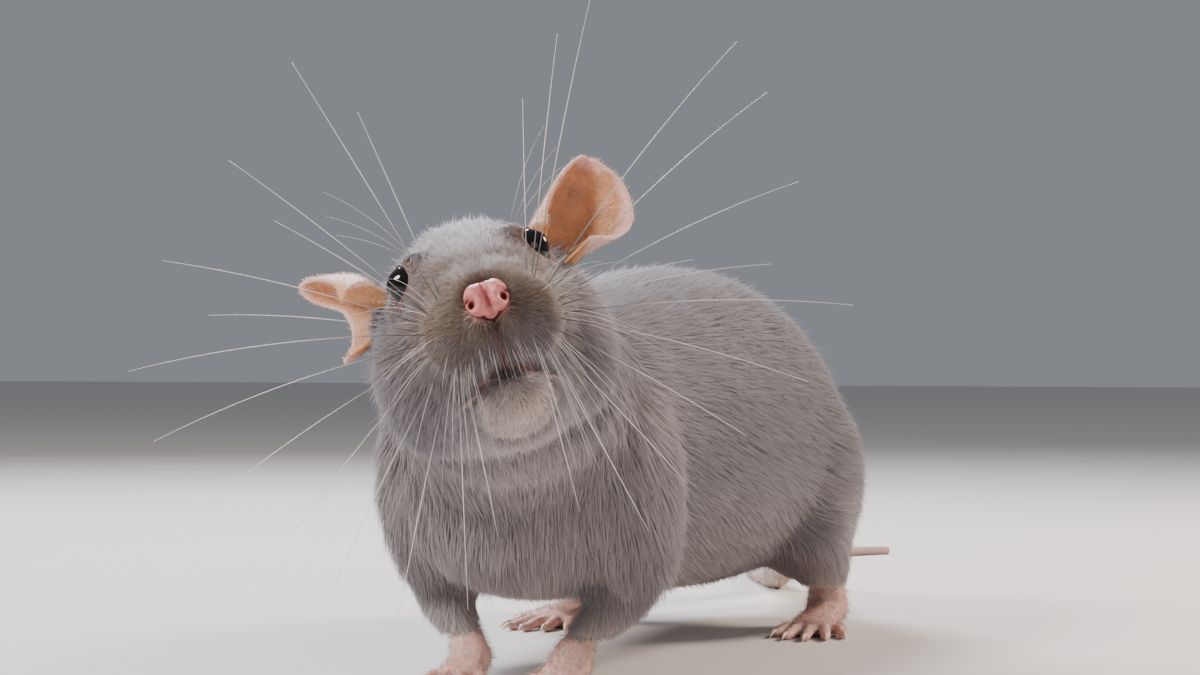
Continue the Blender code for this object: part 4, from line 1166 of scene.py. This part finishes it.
def lie_of_coat(where):
    """The way the hair runs at each place, before it is laid along the skin.

    On the head it runs back, outward from the nose, away from the eyes and down the cheeks; on
    the body back, and down over flanks, chest and limbs.
    """
    head, row = where["head_place"], where["row_place"]
    on_head = np.zeros_like(head)
    on_head[:, 1] = 1.0
    front = (1 - ease(head[:, 1], -19.0, -11.0))[:, None]
    spread = head - np.array([0.0, 0.0, -10.5])
    spread[:, 1] = 0.0
    low = ease(-head[:, 2], 2.0, 20.0) * ease(head[:, 1], -18.0, -6.0)
    on_head[:, 2] -= 0.75 * low
    side = np.sign(head[:, :1]) * [1, 0, 0] + np.array([0, 1, 1])
    from_eye = unit(head - side * EYE_PLACE)
    on_head = on_head + from_eye * (2.2 * near(where["eye"] - 3.4, 4.0))[:, None]
    on_head = on_head + unit(spread) * front * 1.6
    on_head = on_head @ np.array(HEAD.to_3x3().normalized()).T
    on_body = np.zeros_like(row)
    on_body[:, 1] = 1.0
    on_body[:, 2] = -0.45 * ease(np.abs(row[:, 0]), 5.0, 26.0)
    chest = 1 - ease(row[:, 1], -16.0, 16.0)
    on_body[:, 1] *= 1 - 0.7 * chest
    on_body[:, 2] -= 1.5 * chest
    on_body[:, 2] -= 2.5 * where["low_limb"]
    return on_head * where["head"][:, None] + on_body * (1 - where["head"])[:, None]


def lie_of_hair(part, where):
    """The way a part's hair runs: on ears out and up, on paws ahead, on the tail rearward."""
    if part == "body":
        return lie_of_coat(where)
    if part == "ear":
        return np.sign(where["head_place"][:, :1]) * [0.9, 0.0, 0.0] + [0.0, 0.4, 0.7]
    way = {"tail": [0.3, 1.0, 0.0], "paw": [0.0, -1.0, -0.3]}[part]
    return even(way, where["row_place"])


def fuzz_colour(part, roots, colours):
    """Pale hair, on the ears nearly as dark as the skin below it."""
    pale = even(colours.fuzz, roots)
    if part != "ear":
        return pale
    # The ears' hair takes on the skin's tone, with its painted glow.
    skin = mixed(np.array([colours.ear_skin_and_glow]), colours.ear_rim, ear_rim(roots))
    return 0.25 * pale + 0.75 * skin


def face_weight(where):
    """How thickly the head is haired, none where it is bare."""
    thick = 0.45 + 0.55 * near(where["head_place"][:, 1] + 8.0, 20.0)
    return haired(where) * (where["head"] > 0.5) * thick


def body_weight(where):
    """How thickly the body is haired behind the head."""
    return haired(where) * (where["head"] <= 0.5) * (1 + 0.8 * where["low_limb"])


def face_hair(where, sizes):
    """Hair of the head: short and of one tone about nose and eyes, longer towards the neck."""
    back = ease(where["head_place"][:, 1], -19.0, 14.0)
    return {
        "length": (1.6 + 4.0 * back) * (0.35 + 0.65 * ease(where["eye"], 4.0, 9.0)),
        "width": sizes.face_width / MM * (0.85 + 0.6 * back),
        # Near the nose there is little painted root shade or tip highlight.
        "contrast": 0.4 + 0.9 * ease(where["nose"], 3.0, 10.0),
    }


def body_hair(where, sizes):
    """Hair behind the head, shorter and finer down the limbs."""
    return {
        "length": sizes.body_length / MM * (1 - 0.72 * where["low_limb"]),
        "width": sizes.body_width / MM * (1 - 0.3 * where["low_limb"]),
        "contrast": 0.6,
    }


def tail_root_hair(where, sizes):
    """Hair over the root of the tail, shorter towards its end."""
    return {
        "length": 5.5 - 3.0 * ease(where["row_place"][:, 1], 142.0, 160.0),
        "width": sizes.body_width / MM * 0.9,
        "contrast": 0.6,
    }


def tail_root_weight(where):
    """The coat runs out over the root of the tail."""
    return 1 - ease(where["row_place"][:, 1], 143.0, 162.0)


def fuzz_weight(where):
    """Ears, paws and tail are haired alike all over, but for the soles."""
    return ease(where["row_place"][:, 2], 1.0, 2.4)


def haired(where):
    """Where hair grows on the skin of head and body: not on lips, lids or beside the nose pad."""
    return (1 - bareness(where)) * ease(where["eye"], 3.5, 4.2) * ease(where["nose"], 2.5, 2.9)


def scatter(mesh, part, count, weigh, rng):
    """Random places on a part of the skin and their normals, denser where the weight is high."""
    mesh.calc_loop_triangles()
    corners = np.empty(len(mesh.loop_triangles) * 3, np.int32)
    mesh.loop_triangles.foreach_get("vertices", corners)
    corners = corners.reshape(-1, 3)
    places, normals = points_of(mesh)
    a, b, c = (places[corners[:, i]] for i in range(3))
    areas = np.linalg.norm(np.cross(b - a, c - a), axis=1) / 2
    areas *= np.all(np.abs(noted(mesh, "part")[corners] - PARTS[part]) < 0.3, axis=1)
    total = np.cumsum(areas * weigh(survey((a + b + c) / 3)))
    chosen = np.minimum(np.searchsorted(total, rng.random(count) * total[-1]), len(total) - 1)
    u, v = rng.random(count), rng.random(count)
    over = u + v > 1
    u[over], v[over] = 1 - u[over], 1 - v[over]
    shares = np.stack([1 - u - v, u, v], 1)
    roots = np.einsum("ij,ijk->ik", shares, places[corners[chosen]])
    out = np.einsum("ij,ijk->ik", shares, normals[corners[chosen]])
    return roots, unit(out)


def sleeve(places, start, length, axis):
    """How far along a sleeve about a level axis each place is, and how far round, as shares."""
    along = np.clip((places[:, 1] - start) / length, 0, 1)
    return along, np.arctan2(places[:, 0], places[:, 2] - axis) / (2 * math.pi) + 0.5


def coat_map(where):
    """Each root's place on an unwrap of the skin: head and trunk as sleeves, limbs below them."""
    head, row = where["head_place"], where["row_place"]
    along_head, around_head = sleeve(head, *HEAD_SLEEVE)
    along_body, around_body = sleeve(row, *TRUNK_SLEEVE)
    in_head = where["head"] > 0.5
    limb = (where["low_limb"] > 0.5) & ~in_head
    left, hind = row[:, 0] > 0, row[:, 1] > LIMB_PARTING
    limb_index = left * 1 + hind * 2
    middle_x = np.where(left, 1, -1) * np.where(hind, HIND_AXIS[0], FORE_AXIS[0])
    middle_y = np.where(hind, HIND_AXIS[1], FORE_AXIS[1])
    around_limb = np.arctan2(row[:, 0] - middle_x, row[:, 1] - middle_y) / (2 * math.pi) + 0.5
    u = np.where(in_head, 0.02 + 0.28 * along_head, 0.34 + 0.64 * along_body)
    v = np.where(in_head, 0.32 + 0.66 * around_head, 0.32 + 0.66 * around_body)
    u = np.where(limb, 0.02 + 0.24 * limb_index + 0.2 * around_limb, u)
    v = np.where(limb, 0.02 + 0.26 * np.clip(row[:, 2] / 30.0, 0, 1), v)
    return np.stack([u, v], 1)


def blades(name, hairs, segments):
    """Tapered bent blades of hair as one mesh, with a colour at each vertex and a map.

    Hairs holds roots, out, along, lengths, widths, lift, twist, colours and contrast, a row for
    each hair.
    """
    roots, out, along = hairs["roots"], hairs["out"], hairs["along"]
    lengths, widths, lift = hairs["lengths"], hairs["widths"], hairs["lift"]
    count = len(roots)
    across = unit(np.cross(along, out))
    twist = hairs["twist"][:, None]
    across = across * np.cos(twist) + out * np.sin(twist)
    rows = [roots]
    place = roots
    for step in range(segments):
        # A blade rises most at its root and bends down along the skin.
        angle = (lift * (1.35 - 1.0 * step / segments))[:, None]
        way = along * np.cos(angle) + out * np.sin(angle)
        place = place + way * (lengths / segments)[:, None]
        rows.append(place)
    columns = []
    for step, wide in enumerate(BLADE_WIDTHS[segments]):
        half = across * (widths * wide / 2)[:, None]
        columns += [rows[step] - half, rows[step] + half]
    columns.append(rows[-1])
    vertices = np.stack(columns, 1).reshape(-1, 3)
    # No hair reaches below the floor.
    vertices[:, 2] = np.maximum(vertices[:, 2], 0.0)
    per = 2 * segments + 1
    faces = []
    for step in range(segments - 1):
        low = 2 * step
        faces += [(low, low + 1, low + 3), (low, low + 3, low + 2)]
    faces.append((per - 3, per - 2, per - 1))
    triangles = (np.arange(count)[:, None, None] * per + np.array(faces)[None]).reshape(-1, 3)
    mesh = mesh_of_arrays(name, vertices, triangles)
    # Painted shade darkens each blade towards its root, deep in the coat, and a painted highlight
    # pales its tip, both partly the hair's own banding; the contrast sets how strong they are.
    root_painted_shade, tip_painted_light = HAIR_ROOT_SHADE_TIP_LIGHT
    shade = np.append(np.repeat(np.linspace(root_painted_shade, 1.0, segments), 2), tip_painted_light)
    shade = 1 + (shade - 1) * hairs["contrast"][:, None]
    tint = (hairs["colours"][:, None, :] * shade[:, :, None]).reshape(-1, 3)
    set_tint(mesh, np.clip(tint, 0, 1))
    # The normals lean towards the skin's own, so that the coat shades softly as one surface.
    facing = unit(0.7 * out + 0.5 * np.cross(across, along))
    normals = np.repeat(facing, per, axis=0).astype(np.float32)
    layer = mesh.attributes.new("custom_normal", "FLOAT_VECTOR", "POINT")
    layer.data.foreach_set("vector", normals.ravel())
    uv = coat_map(survey(roots))
    corner = np.zeros((per, 2))
    corner[:, 0] = np.append(np.tile([0.0, 1.0], segments), 0.5)
    corner[:, 1] = np.append(np.repeat(np.arange(segments) / segments, 2), 1.0)
    mapped = (uv[:, None, :] + corner[None] * HAIR_PATCH).reshape(-1, 2)
    layer = mesh.uv_layers.new(name="OFBake")
    layer.data.foreach_set("uv", mapped[triangles.ravel()].astype(np.float32).ravel())
    return mesh


def hair_material():
    """Rat hair: fine and soft, coloured from root to tip, with a faint sheen along the lie."""
    material, shader = new_material("rat_hair", 0.6, Specular_IOR_Level=0.3, Sheen_Weight=0.15)
    tinted(material, shader)
    return material


def grown(roots, out, along, sizes, rng):
    """Hairs from their roots: laid along the skin, leaning together in locks, each a bit astray.

    Sizes holds a style, with its lift in degrees, and length and width in millimetres, the
    colours and their contrast from root to tip, each for every hair or the same for all.
    """
    row = in_frame(ROW, roots)
    lock = np.stack([ripple(row, sizes["lock_grain"], seed) for seed in (31, 32, 33)], 1)
    along = laid(along, out)
    along = along + lock * sizes["lock_lean"] + rng.normal(0, sizes["stray"], along.shape)
    along = laid(along, out)
    count = len(roots)
    # Guard hairs are longer, steeper and paler than the rest.
    guard = rng.random(count) < GUARD_SHARE
    lengths = sizes["length"] * rng.uniform(0.72, 1.08, count) * np.where(guard, 1.3, 1.0)
    lift = sizes["lift"] * rng.uniform(0.6, 1.3, count) * np.where(guard, 1.25, 1.0)
    shade = rng.uniform(0.84, 1.14, count) * np.where(guard, 1.2, 1.0)
    return {
        "roots": roots,
        "out": out,
        "along": along,
        "lengths": lengths * MM,
        "widths": sizes["width"] * rng.uniform(0.8, 1.2, count) * MM,
        "lift": np.radians(lift),
        "twist": rng.uniform(-0.7, 0.7, count),
        "colours": sizes["colours"] * shade[:, None],
        "contrast": sizes["contrast"] * np.ones(count),
    }


def add_hair(name, hairs, segments, material):
    """Adds hairs as pieces of the coat, each piece under the limit for one mesh."""
    most = PIECE_TRIANGLES // (2 * segments - 1)
    order = np.argsort(hairs["roots"][:, 1], kind="stable")
    for i, start in enumerate(range(0, len(order), most)):
        rows = order[start : start + most]
        part = {key: values[rows] for key, values in hairs.items()}
        place_piece(f"{name}_{i}", blades(f"{name}_{i}", part, segments), material, "coat")


# Settings, operators and panel


def colour_setting(name, code, description):
    """A colour that a user may change, given as sRGB hex."""
    return FloatVectorProperty(
        name=name, description=description, default=linear(code), subtype="COLOR", min=0.0, max=1.0
    )


def count_setting(name, count, description, least):
    """A number of hairs that a user may change."""
    return IntProperty(name=name, description=description, default=count, min=least)


def length_setting(name, length, description):
    """A length in metres that a user may change."""
    return FloatProperty(name=name, description=description, default=length, unit="LENGTH")


class RatSizes(bpy.types.PropertyGroup):
    """The sizes and numbers of the hairs."""

    face_hairs: count_setting("Face hairs", 130000, "Blades of hair on the head", 1000)
    body_hairs: count_setting("Body hairs", 200000, "Blades of hair behind the head", 1000)
    fuzz_hairs: count_setting("Fuzz hairs", 16000, "Hairs on ears, paws and tail", 100)
    root_hairs: count_setting("Tail root hairs", 7000, "Hairs over the root of the tail", 100)
    body_length: length_setting("Body hair", 0.0062, "Length of the hair on the back")
    body_width: length_setting("Body hair width", 0.0001, "Width of one blade on the back")
    face_width: length_setting("Face hair width", 0.0001, "Width of one blade on the face")
    whisker_width: length_setting("Whisker width", 0.00019, "Width of a whisker at its root")


class RatColours(bpy.types.PropertyGroup):
    """The colours of the coat, the bare skin, the eyes and the whiskers."""

    crown: colour_setting("Crown", "#67646b", "Hair on the forehead and cheeks")
    back: colour_setting("Back", "#646167", "Hair on the back and flanks")
    belly: colour_setting("Belly", "#948c8f", "Hair on the belly and chest")
    muzzle: colour_setting("Muzzle", "#6a5a4f", "Hair on the muzzle")
    chin: colour_setting("Chin", "#c0b0a8", "Hair on the chin")
    # Dark bare skin, its darkness partly painted shade in the cleft and the mouth line.
    lips: colour_setting("Lips", "#6b403b", "Cleft and inner edges of the lips")
    # Thin peach skin warmed to amber: partly its own colour, partly painted glow of light through
    # it.
    bare_skin: colour_setting("Bare skin", "#d0a69d", "Paws and the skin beside nose and lids")
    ear_skin_and_glow: colour_setting("Ear hollow", "#bb895f", "Thin skin of the ears")
    ear_rim: colour_setting("Ear rim", "#dcb4aa", "Rolled rims of the ears")
    lids: colour_setting("Lids", "#5c4a48", "Rims of the lids")
    tail: colour_setting("Tail", "#a98d86", "Tail")
    fuzz: colour_setting("Fuzz", "#ddd3cd", "Sparse hair on ears, paws and tail")
    nose: colour_setting("Nose", "#cc7f7c", "Nose pad")
    # Dark red inside of the nostrils, deepened as painted shade.
    nostril: colour_setting("Nostril", "#5a1f1f", "Inside of the nostrils")
    whisker_root: colour_setting("Whisker root", "#3a3432", "Roots of the whiskers")
    whisker_tip: colour_setting("Whisker tip", "#e4deda", "Outer part of the whiskers")
    claw: colour_setting("Claw", "#d9c3b4", "Claws")


class RAT_OT_stage(bpy.types.Operator):
    """Lays the pale floor and sets up the studio lights and the camera"""

    bl_idname = "rat.stage"
    bl_label = "Stage"

    def execute(self, context):
        bm = bmesh.new()
        bmesh.ops.create_grid(bm, x_segments=1, y_segments=1, size=3.0)
        mesh = bpy.data.meshes.new("floor")
        bm.to_mesh(mesh)
        bm.free()
        floor = add_piece("floor", mesh)
        # Matt pale paint: an even ground on which the paws' soft shadows show.
        material, shader = new_material("pale_studio_floor", 0.8)
        shader.inputs["Base Color"].default_value = (*linear(FLOOR_COLOUR), 1.0)
        mesh.materials.append(material)
        world = bpy.data.worlds.new("studio")
        context.scene.world = world
        world.use_nodes = True
        backdrop = world.node_tree.nodes["Background"]
        backdrop.inputs["Color"].default_value = (*linear(BACKDROP_COLOUR), 1.0)
        backdrop.inputs["Strength"].default_value = BACKDROP_STRENGTH
        head = HEAD.translation
        for name, (place, size, power, colour) in LAMPS.items():
            data = bpy.data.lights.new(name, "AREA")
            data.shape = "DISK"
            data.size = size
            data.energy = power
            data.color = linear(colour)
            lamp = add_piece(name, data)
            lamp.location = Vector(place) + head
            aim(lamp, head - lamp.location)
        add_camera(context.scene)
        return {"FINISHED"}


def aim(obj, way):
    """Turns a lamp or the camera to face some way."""
    obj.rotation_mode = "QUATERNION"
    obj.rotation_quaternion = way.to_track_quat("-Z", "Y")


def add_camera(scene):
    """The camera at the photograph's viewing angle."""
    back = Vector((math.sin(CAMERA_AZIMUTH), -math.cos(CAMERA_AZIMUTH), 0))
    aside = Vector((math.cos(CAMERA_AZIMUTH), math.sin(CAMERA_AZIMUTH), 0))
    data = bpy.data.cameras.new("camera")
    data.sensor_width = SENSOR_WIDTH
    data.lens = CAMERA_FOCAL_PIXELS / IMAGE_WIDTH * SENSOR_WIDTH
    data.clip_start = 0.01
    camera = add_piece("camera", data)
    place = back * CAMERA_DISTANCE + aside * CAMERA_ASIDE + Vector((0, 0, CAMERA_HEIGHT))
    camera.location = ROW_SHIFT + place * MM
    aim(camera, -back)
    scene.camera = camera


class RAT_OT_skin(bpy.types.Operator):
    """Makes the skin that lies below the coat, with ears, lids, paws and tail"""

    bl_idname = "rat.skin"
    bl_label = "Skin"

    def execute(self, context):
        colours = context.scene.rat_colours
        parts = [mark(ear_mesh(word), "ear") for _, word in SIDES]
        parts += [mark(lid_mesh(side), "lid") for side, _ in SIDES]
        parts += [mark(paw_mesh(name), "paw") for name in PAWS]
        parts.append(mark(tail_mesh(), "tail"))
        mesh = united(mark(skin_mesh(), "body"), parts, "skin")
        set_tint(mesh, skin_colour(mesh, colours))
        mesh.shade_smooth()
        place_piece("skin", mesh, skin_material(), "coat", *FLESH, *EARS, *PAWS, *TAIL)
        return {"FINISHED"}


class RAT_OT_nose(bpy.types.Operator):
    """Makes the bare nose pad with its nostrils"""

    bl_idname = "rat.nose"
    bl_label = "Nose"

    def execute(self, context):
        colours = context.scene.rat_colours
        mesh, pit, groove = nose_mesh()
        places, _ = points_of(mesh)
        tone = even(colours.nose, places)
        tone *= (1 + 0.08 * ripple(in_frame(HEAD, places), 1.1, 8))[:, None]
        # The nostrils' dark red inside is deepened as painted shade in the pits.
        tone = mixed(tone, np.array(colours.nostril), ease(pit, 0.25, 0.8))
        # The groove down the nose's middle is darkened as painted shade.
        set_tint(mesh, mixed(tone, tone * 0.7, groove * 0.8))
        mesh.shade_smooth()
        # Bare moist skin, finely pebbled: it takes soft highlights on its lobes.
        material, shader = new_material(
            "moist_nose_skin", 0.38, Subsurface_Weight=0.4, Subsurface_Scale=0.0008, IOR=1.4
        )
        shader.inputs["Subsurface Radius"].default_value = (1.0, 0.35, 0.25)
        tinted(material, shader)
        pitted(material, shader, (("cells", 0.3, 0.06),))
        place_piece("nose_pad", mesh, material, "nose_skin", "nose")
        return {"FINISHED"}


class RAT_OT_eyes(bpy.types.Operator):
    """Makes the two glossy black eyes"""

    bl_idname = "rat.eyes"
    bl_label = "Eyes"

    def execute(self, context):
        # A rat's dark eye: clear wet cornea over a nearly black iris, so one sharp highlight.
        material, shader = new_material("wet_black_eye", 0.04, IOR=1.38)
        place = add_node(material, "ShaderNodeTexCoord").outputs["Object"]
        noise = add_node(
            material, "ShaderNodeTexNoise", None, {"Vector": place, "Scale": 900.0, "Detail": 4.0}
        )
        ramp = add_node(material, "ShaderNodeValToRGB", None, {"Fac": noise.outputs["Fac"]})
        ramp.color_ramp.elements[0].color = (*linear("#050507"), 1.0)
        ramp.color_ramp.elements[1].color = (*linear("#1d1618"), 1.0)
        feed(material, ramp.outputs["Color"], shader, "Base Color")
        for side, word in SIDES:
            bm = bmesh.new()
            bmesh.ops.create_uvsphere(bm, u_segments=64, v_segments=40, radius=EYE_RADIUS)
            for vert in bm.verts:
                bulge = max(0.0, vert.co.z / EYE_RADIUS - CORNEA_EDGE) / (1 - CORNEA_EDGE)
                vert.co.z += CORNEA_HEIGHT * bulge * bulge
            out = Vector(mirrored(EYE_OUT, side)).normalized()
            turn = out.to_track_quat("Z", "Y").to_matrix().to_4x4()
            where = HEAD @ Matrix.Translation(mirrored(EYE_PLACE, side)) @ turn
            bmesh.ops.transform(bm, matrix=where, verts=bm.verts)
            mesh = mesh_from(bm, f"eyeball_{word}")
            mesh.shade_smooth()
            place_piece(f"eyeball_{word}", mesh, material, "eyes", f"eye_{word}")
        return {"FINISHED"}


class RAT_OT_claws(bpy.types.Operator):
    """Makes the claws of all toes"""

    bl_idname = "rat.claws"
    bl_label = "Claws"

    def execute(self, context):
        colours = context.scene.rat_colours
        paths = claw_paths()
        taper = np.linspace(1, 0, paths.shape[1]) ** 0.7
        radii = np.tile((CLAW_TIP + CLAW_GROWTH * taper) * MM, (len(paths), 1))
        # A claw that meets the floor lies along it.
        paths[:, :, 2] = np.maximum(paths[:, :, 2], radii * 0.9)
        horn = np.array(colours.claw)
        mesh = strands("claws", paths, radii, horn * 0.8, horn, 10)
        # Horn, grown and worn smooth: it shines softly and pales towards the tip.
        material, shader = new_material("claw_horn", 0.35, IOR=1.54)
        tinted(material, shader)
        pitted(material, shader, (("noise", 0.6, 0.03),))
        place_piece("claws", mesh, material, "paw_skin")
        return {"FINISHED"}


class RAT_OT_whiskers(bpy.types.Operator):
    """Makes the whiskers, the short bristles and the fringe over the mouth"""

    bl_idname = "rat.whiskers"
    bl_label = "Whiskers"

    def execute(self, context):
        colours = context.scene.rat_colours
        root = context.scene.rat_sizes.whisker_width / 2
        rng = np.random.default_rng(12)
        skin = bpy.data.objects["skin"].data
        tree = BVHTree.FromPolygons(
            [vert.co for vert in skin.vertices], [face.vertices for face in skin.polygons]
        )
        # Stiff bristle hair: smooth, so that it glints a little, dark at the root, pale outward.
        material, shader = new_material("whisker_bristle", 0.4, IOR=1.55)
        tinted(material, shader)
        for name, paths, wide in (
            ("whiskers", whisker_paths(), 1.0),
            ("bristles", short_hairs(rng), 0.42),
            ("mouth_fringe", fringe(tree, rng), 0.25),
        ):
            # Each tapers to about a quarter of its width, and short ones are paler at the root.
            t = np.linspace(0, 1, paths.shape[1])
            radii = np.tile(root * wide * (1 - 0.72 * t**1.2), (len(paths), 1))
            dark = np.array(colours.whisker_root)
            if wide < 1:
                dark = (dark + np.array(colours.whisker_tip)) / 2
            mesh = strands(name, from_frame(HEAD, paths), radii, dark, colours.whisker_tip)
            place_piece(name, mesh, material, "coat")
        return {"FINISHED"}


class RAT_OT_coat(bpy.types.Operator):
    """Grows the short coat over the skin, finest on the face"""

    bl_idname = "rat.coat"
    bl_label = "Coat"

    def execute(self, context):
        sizes, colours = context.scene.rat_sizes, context.scene.rat_colours
        rng = np.random.default_rng(7)
        mesh = bpy.data.objects["skin"].data
        material = hair_material()

        for name, part, count, weigh, dress in (
            ("coat_face", "body", sizes.face_hairs, face_weight, face_hair),
            ("coat_body", "body", sizes.body_hairs, body_weight, body_hair),
            ("coat_root", "tail", sizes.root_hairs, tail_root_weight, tail_root_hair),
        ):
            roots, out = scatter(mesh, part, count, weigh, rng)
            where = survey(roots)
            coat = HAIR_STYLES[name] | dress(where, sizes)
            coat["colours"] = coat_colour(where, colours)
            hairs = grown(roots, out, lie_of_hair(part, where), coat, rng)
            add_hair(name, hairs, coat["segments"], material)

        for part, (share, length) in FUZZ.items():
            roots, out = scatter(mesh, part, int(sizes.fuzz_hairs * share), fuzz_weight, rng)
            width = sizes.face_width / MM * 0.6
            fuzz = HAIR_STYLES["fuzz"] | {"length": length, "width": width, "contrast": 1.0}
            fuzz["colours"] = fuzz_colour(part, roots, colours)
            hairs = grown(roots, out, lie_of_hair(part, survey(roots)), fuzz, rng)
            add_hair(f"fuzz_{part}", hairs, fuzz["segments"], material)
        return {"FINISHED"}


class RAT_PT_panel(bpy.types.Panel):
    """Lists the rat's pieces and settings"""

    bl_label = "Rat"
    bl_space_type = "VIEW_3D"
    bl_region_type = "UI"
    bl_category = "Rat"

    def draw(self, context):
        for kind in OPERATORS:
            self.layout.operator(kind.bl_idname)
        for settings in (context.scene.rat_sizes, context.scene.rat_colours):
            for name in settings.__annotations__:
                self.layout.prop(settings, name)


OPERATORS = (
    RAT_OT_stage, RAT_OT_skin, RAT_OT_nose, RAT_OT_eyes,
    RAT_OT_claws, RAT_OT_whiskers, RAT_OT_coat,
)
CLASSES = (RatSizes, RatColours, *OPERATORS, RAT_PT_panel)


def register():
    for kind in CLASSES:
        bpy.utils.register_class(kind)
    bpy.types.Scene.rat_sizes = PointerProperty(type=RatSizes)
    bpy.types.Scene.rat_colours = PointerProperty(type=RatColours)


def unregister():
    del bpy.types.Scene.rat_colours
    del bpy.types.Scene.rat_sizes
    for kind in reversed(CLASSES):
        bpy.utils.unregister_class(kind)


def main():
    register()
    bpy.ops.rat.stage()
    bpy.ops.rat.skin()
    bpy.ops.rat.nose()
    bpy.ops.rat.eyes()
    bpy.ops.rat.claws()
    bpy.ops.rat.whiskers()
    bpy.ops.rat.coat()


if __name__ == "__main__":
    main()
